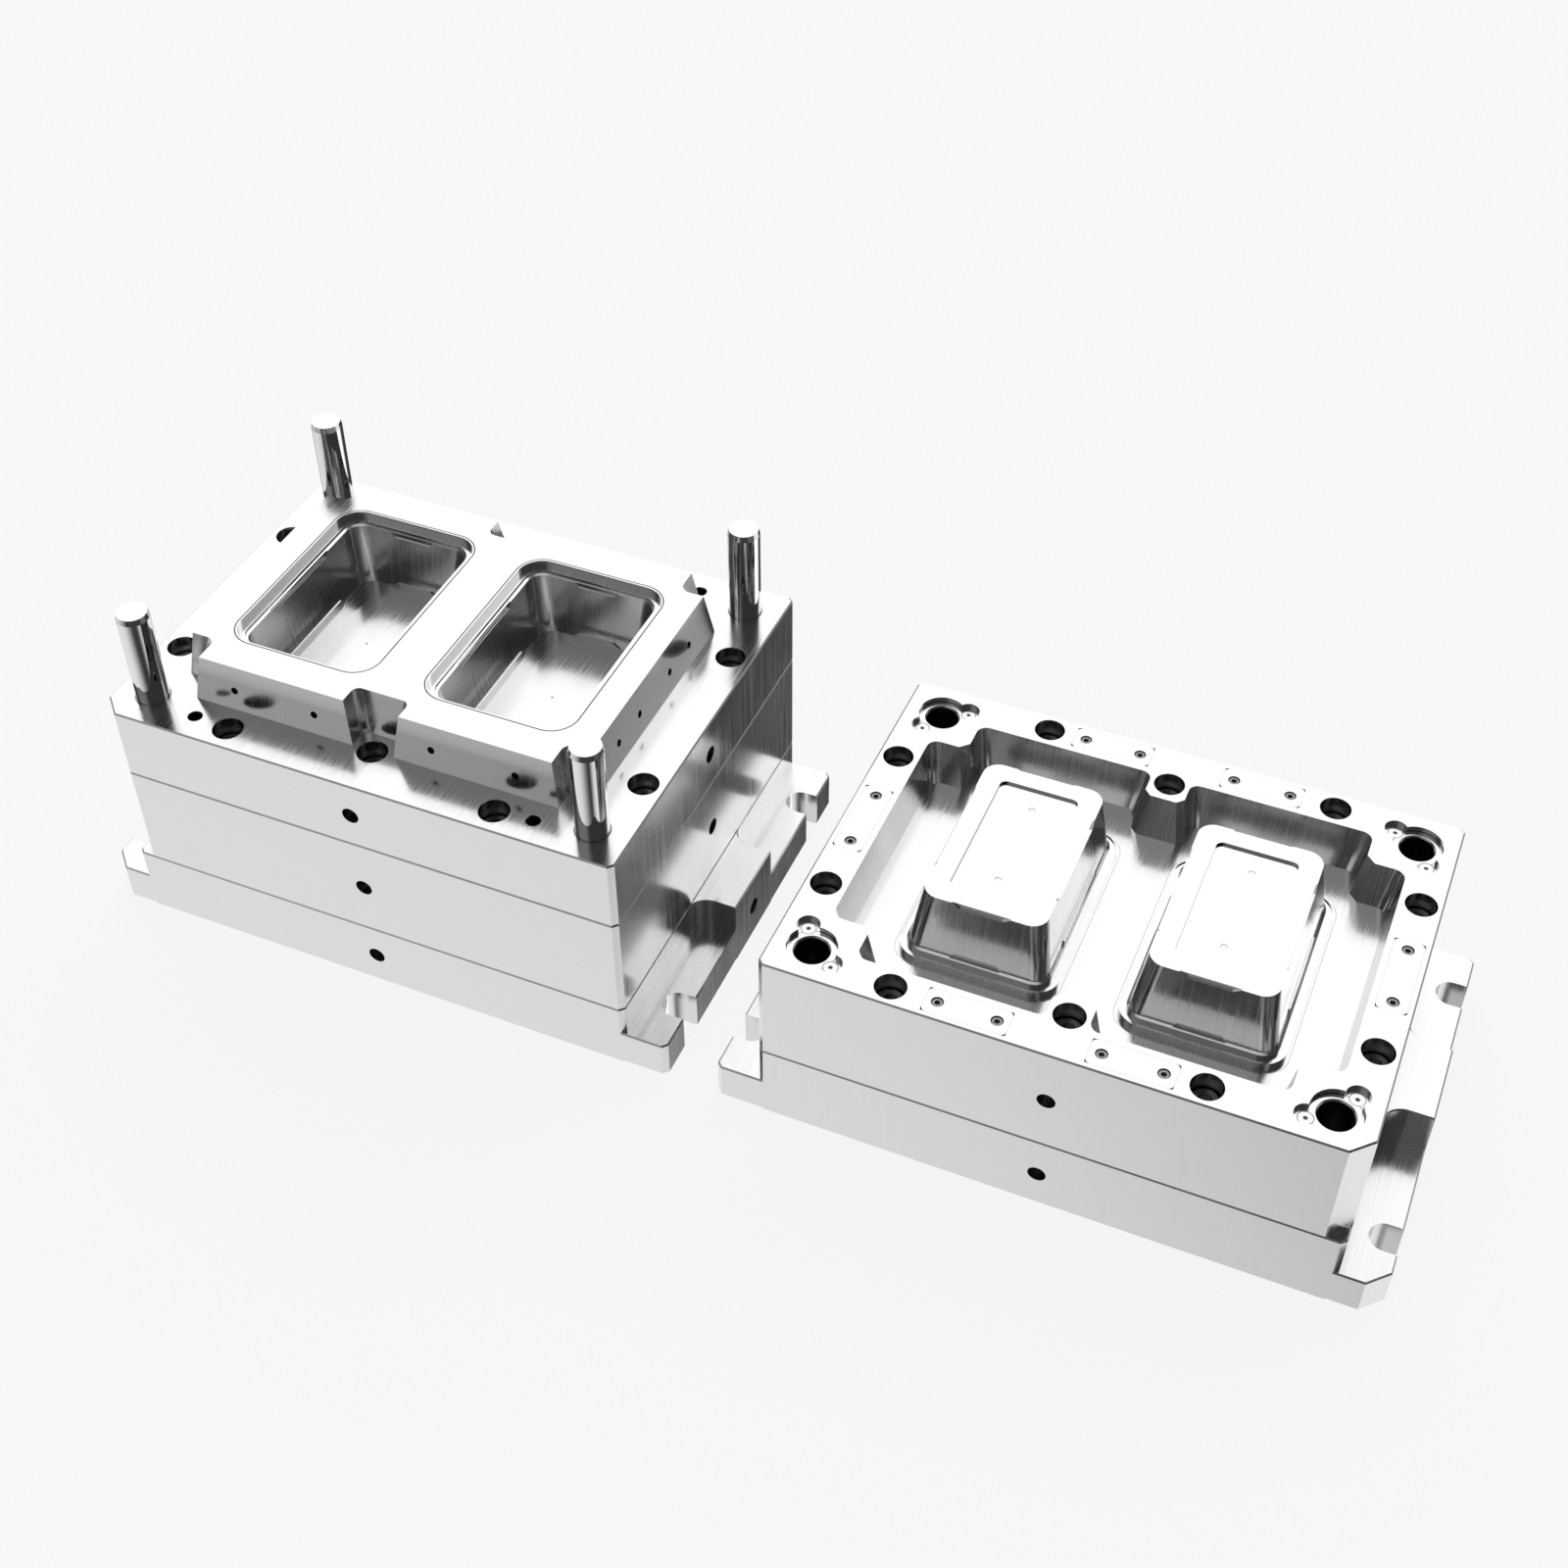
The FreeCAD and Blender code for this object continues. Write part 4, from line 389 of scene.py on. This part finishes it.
def geometry_tree(name, inputs):
    """An empty Geometry Nodes group with named number inputs and a mesh in and out."""
    group = bpy.data.node_groups.new(name, "GeometryNodeTree")
    group.interface.new_socket("Geometry", in_out="INPUT", socket_type="NodeSocketGeometry")
    for label, kind in inputs:
        group.interface.new_socket(label, in_out="INPUT", socket_type=kind)
    group.interface.new_socket("Geometry", in_out="OUTPUT", socket_type="NodeSocketGeometry")
    return group


knurl_inputs = {"Head radius": ("NodeSocketFloat", HEAD_RADIUS),
                "Rib height": ("NodeSocketFloat", HEAD_HEIGHT - 2 * HEAD_EDGE),
                "Rib size": ("NodeSocketFloat", RIB_SIZE),
                "Ribs round": ("NodeSocketInt", RIBS_ROUND)}
knurling = geometry_tree("knurling", [(label, kind) for label, (kind, _) in knurl_inputs.items()])
tree = Tree(knurling)
feet, radius, height, size, count = [tree.make("NodeGroupInput", output=number) for number in range(5)]
rod = tree.make("GeometryNodeMeshCylinder", Vertices=RIB_SIDES, Radius=size, Depth=height)
rod = tree.make("GeometryNodeTransform", rod, Translation=(0, 0, HEAD_HEIGHT / 2))
circle = tree.make("GeometryNodeMeshCircle", Vertices=count, Radius=radius)
outward = tree.make("FunctionNodeAlignRotationToVector", settings={"axis": "X", "pivot_axis": "Z"},
                    Vector=tree.make("GeometryNodeInputPosition"))
ring = tree.make("GeometryNodeInstanceOnPoints", circle, Instance=rod, Rotation=outward)
rings = tree.make("GeometryNodeInstanceOnPoints", feet, Instance=ring)
real = tree.make("GeometryNodeRealizeInstances", rings)
dressed = tree.make("GeometryNodeSetMaterial", real, Material=finishes["bolt_steel"])
tree.make("NodeGroupOutput", dressed)
print("nodes in the knurling:", len(knurling.nodes))

# %% [markdown]
# A carrier mesh holds only the points, one at each head's foot. The group runs on it once, its
# result is kept as a plain mesh, and the carrier is thrown away. The ribs of all heads are one
# piece, because they all ride on the mould itself.

# %% Ribs on the heads


def grown(name, group, points, values):
    """A plain mesh object that a Geometry Nodes group grows on points."""
    seed = bpy.data.meshes.new(name + "_points")
    seed.from_pydata(points, [], [])
    carrier = bpy.data.objects.new(name + "_carrier", seed)
    bpy.context.scene.collection.objects.link(carrier)
    modifier = carrier.modifiers.new("grow", "NODES")
    modifier.node_group = group
    for socket in group.interface.items_tree:
        if socket.in_out == "INPUT" and socket.name in values:
            modifier[socket.identifier] = values[socket.name]
    evaluated = carrier.evaluated_get(bpy.context.evaluated_depsgraph_get())
    mesh = bpy.data.meshes.new_from_object(evaluated)
    mesh.name = name
    bpy.data.objects.remove(carrier)
    piece = bpy.data.objects.new(name, mesh)
    bpy.context.scene.collection.objects.link(piece)
    return piece


ribs = grown("screw_knurling", knurling, heads, {label: value for label, (_, value) in knurl_inputs.items()})
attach(ribs, "mould")
print("ribs:", len(heads) * RIBS_ROUND, "with", len(ribs.data.polygons), "faces")

# %% [markdown]
# An air poppet closes a small seat in each core's panel. Its head is ground a little below the
# panel, so only the far rim of the seat shows, as a fine dark arc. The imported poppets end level
# with the panel, so each is turned again here with the lower head: a profile is spun round the
# poppet's own axis, and its ends are closed.

# %% Turning a profile
TURN_STEPS = 48


def turned(name, axis_x, axis_y, profile, material):
    """A closed round piece: the profile's (radius, height) pairs spun round an upright axis."""
    shell = bmesh.new()
    rings = []
    for radius, height in profile:
        angles = [2 * math.pi * step / TURN_STEPS for step in range(TURN_STEPS)]
        rings.append([shell.verts.new((axis_x + radius * math.cos(angle),
                                       axis_y + radius * math.sin(angle), height)) for angle in angles])
    for lower, upper in zip(rings, rings[1:]):
        for step in range(TURN_STEPS):
            after = (step + 1) % TURN_STEPS
            shell.faces.new((lower[step], lower[after], upper[after], upper[step]))
    shell.faces.new(reversed(rings[0]))
    shell.faces.new(rings[-1])
    bmesh.ops.recalc_face_normals(shell, faces=shell.faces)
    mesh = bpy.data.meshes.new(name)
    shell.to_mesh(mesh)
    shell.free()
    mesh.materials.append(material)
    piece = bpy.data.objects.new(name, mesh)
    bpy.context.scene.collection.objects.link(piece)
    return piece


print("a turned piece has", TURN_STEPS, "sides")

# %% Air poppets ground below the panel
POPPETS = 4
POPPET_HEAD_RADIUS = 0.003
POPPET_STEM_RADIUS = 0.0015
POPPET_SUNK = 0.0004

for number in range(1, POPPETS + 1):
    node = f"air_poppet_{number}"
    low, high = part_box(node)
    cone_foot = high[2] - (POPPET_HEAD_RADIUS - POPPET_STEM_RADIUS)
    profile = [(POPPET_STEM_RADIUS, low[2]), (POPPET_STEM_RADIUS, cone_foot),
               (POPPET_HEAD_RADIUS - POPPET_SUNK, high[2] - POPPET_SUNK)]
    poppet = turned(f"ground_poppet_{number}", (low[0] + high[0]) / 2, (low[1] + high[1]) / 2,
                    profile, finishes["poppet_steel"])
    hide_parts(node)
    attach(poppet, f"poppet_valve_{number}")
print("poppets turned:", POPPETS, "with heads", 2000 * POPPET_HEAD_RADIUS, "mm across")

# %% [markdown]
# Polished steel shows little of its own: it shows the room. The flat tops mirror what stands
# high behind the mould, so a large white window hangs there. The front faces mirror the low
# front left, and the right faces the low back right, which is left dark. Each light is a soft
# round patch in the world, which one function draws, and another draws a pale ring near the
# horizon. Both fade smoothly, because a hard edge would show in the steel as a line.

# %% Soft windows and a ring of light
world = bpy.data.worlds.new("studio")
world.use_nodes = True
bpy.context.scene.world = world
sky = Tree(world.node_tree)
direction = sky.make("ShaderNodeTexCoord", output=0)


def soft_window(azimuth, height, inner, outer, strength):
    """A round patch of light: full inside one angle from its middle, fading to none at another."""
    turn, lift = math.radians(azimuth), math.radians(height)
    aim = (math.cos(lift) * math.cos(turn), math.cos(lift) * math.sin(turn), math.sin(lift))
    toward = sky.make("ShaderNodeVectorMath", direction, aim, settings={"operation": "DOT_PRODUCT"}, output=1)
    return sky.make("ShaderNodeMapRange", toward, settings={"interpolation_type": "SMOOTHSTEP"},
                    From_Min=math.cos(math.radians(outer)), From_Max=math.cos(math.radians(inner)),
                    To_Min=0.0, To_Max=strength)


def soft_band(lowest, highest, fade, strength):
    """A ring of light all round, full between two heights and fading beyond them."""
    heights = (lowest - fade, lowest, highest, highest + fade)
    edges = [math.sin(math.radians(height)) for height in heights]
    level = parts_of(sky, direction)[2]
    rise, fall = [sky.make("ShaderNodeMapRange", level, settings={"interpolation_type": "SMOOTHSTEP"},
                           From_Min=low, From_Max=high, To_Min=0.0, To_Max=strength)
                  for low, high in (edges[:2], edges[2:])]
    return rise - fall


print("the studio is empty so far, with", len(world.node_tree.nodes), "node")

# %% [markdown]
# The lights are listed with what they brighten, so that one line moves or dims each of them. The
# ring keeps the tops readable from low down on every side.

# %% Lights of the studio
ROOM_GREY = 0.08

glow = soft_window(110, 36, 21, 45, 2.0) + ROOM_GREY    # behind, half way up: the white tops
glow = glow + soft_window(203, -60, 17, 60, 1.35)       # low front left: the pale front faces
glow = glow + soft_window(6, -56, 15, 38, 1.4)          # low right: the chamfered corner
glow = glow + soft_window(27, -27, 15, 28, 1.5)         # right, lower down: edges of pins and cores
glow = glow + soft_window(231, 48, 12, 34, 0.35)        # high front: the plates' broken edges
glow = glow + soft_window(241, 7, 9, 30, 0.95)          # level front: walls of the cavities
glow = glow + soft_window(63, 40, 5, 16, 1.9)           # behind right: side walls of the block
glow = glow + soft_window(270, 84, 8, 28, 0.8)          # overhead: the tops when seen from above
glow = glow + soft_band(-3, 17, 8, 0.45)                # all round: the tops from low down
lit = sky.make("ShaderNodeBackground", Strength=glow)
sky.make("ShaderNodeOutputWorld", Surface=lit)
print("nodes in the studio:", len(world.node_tree.nodes))

# %% [markdown]
# The floor is a plain pale sheet. It glows by itself, so it is as even as the picture's
# background, and the mould darkens it only faintly. The steel does not mirror it, or every
# upright face would turn white and its edges would be lost.

# %% Floor
FLOOR_HALF = 45.0
FLOOR_DROP = 0.0005
FLOOR_GLOW = 0.875
FLOOR_WHITE = 0.10

sheet = bpy.data.meshes.new("floor")
corners = [(-1, -1), (1, -1), (1, 1), (-1, 1)]
sheet.from_pydata([(x * FLOOR_HALF, y * FLOOR_HALF, -FLOOR_DROP) for x, y in corners], [], [(0, 1, 2, 3)])
floor = bpy.data.objects.new("floor", sheet)
bpy.context.scene.collection.objects.link(floor)
floor.visible_glossy = False
floor.visible_shadow = False
paper, tree = new_finish("pale floor")
surface = tree.make("ShaderNodeBsdfPrincipled", Base_Color=(FLOOR_WHITE, FLOOR_WHITE, FLOOR_WHITE, 1),
                    Roughness=1.0, Specular_IOR_Level=0.0, Emission_Color=(1, 1, 1, 1),
                    Emission_Strength=FLOOR_GLOW)
tree.make("ShaderNodeOutputMaterial", Surface=surface)
sheet.materials.append(paper)
bpy.context.scene.view_settings.view_transform = "Standard"
print("floor:", 2 * FLOOR_HALF, "m square")
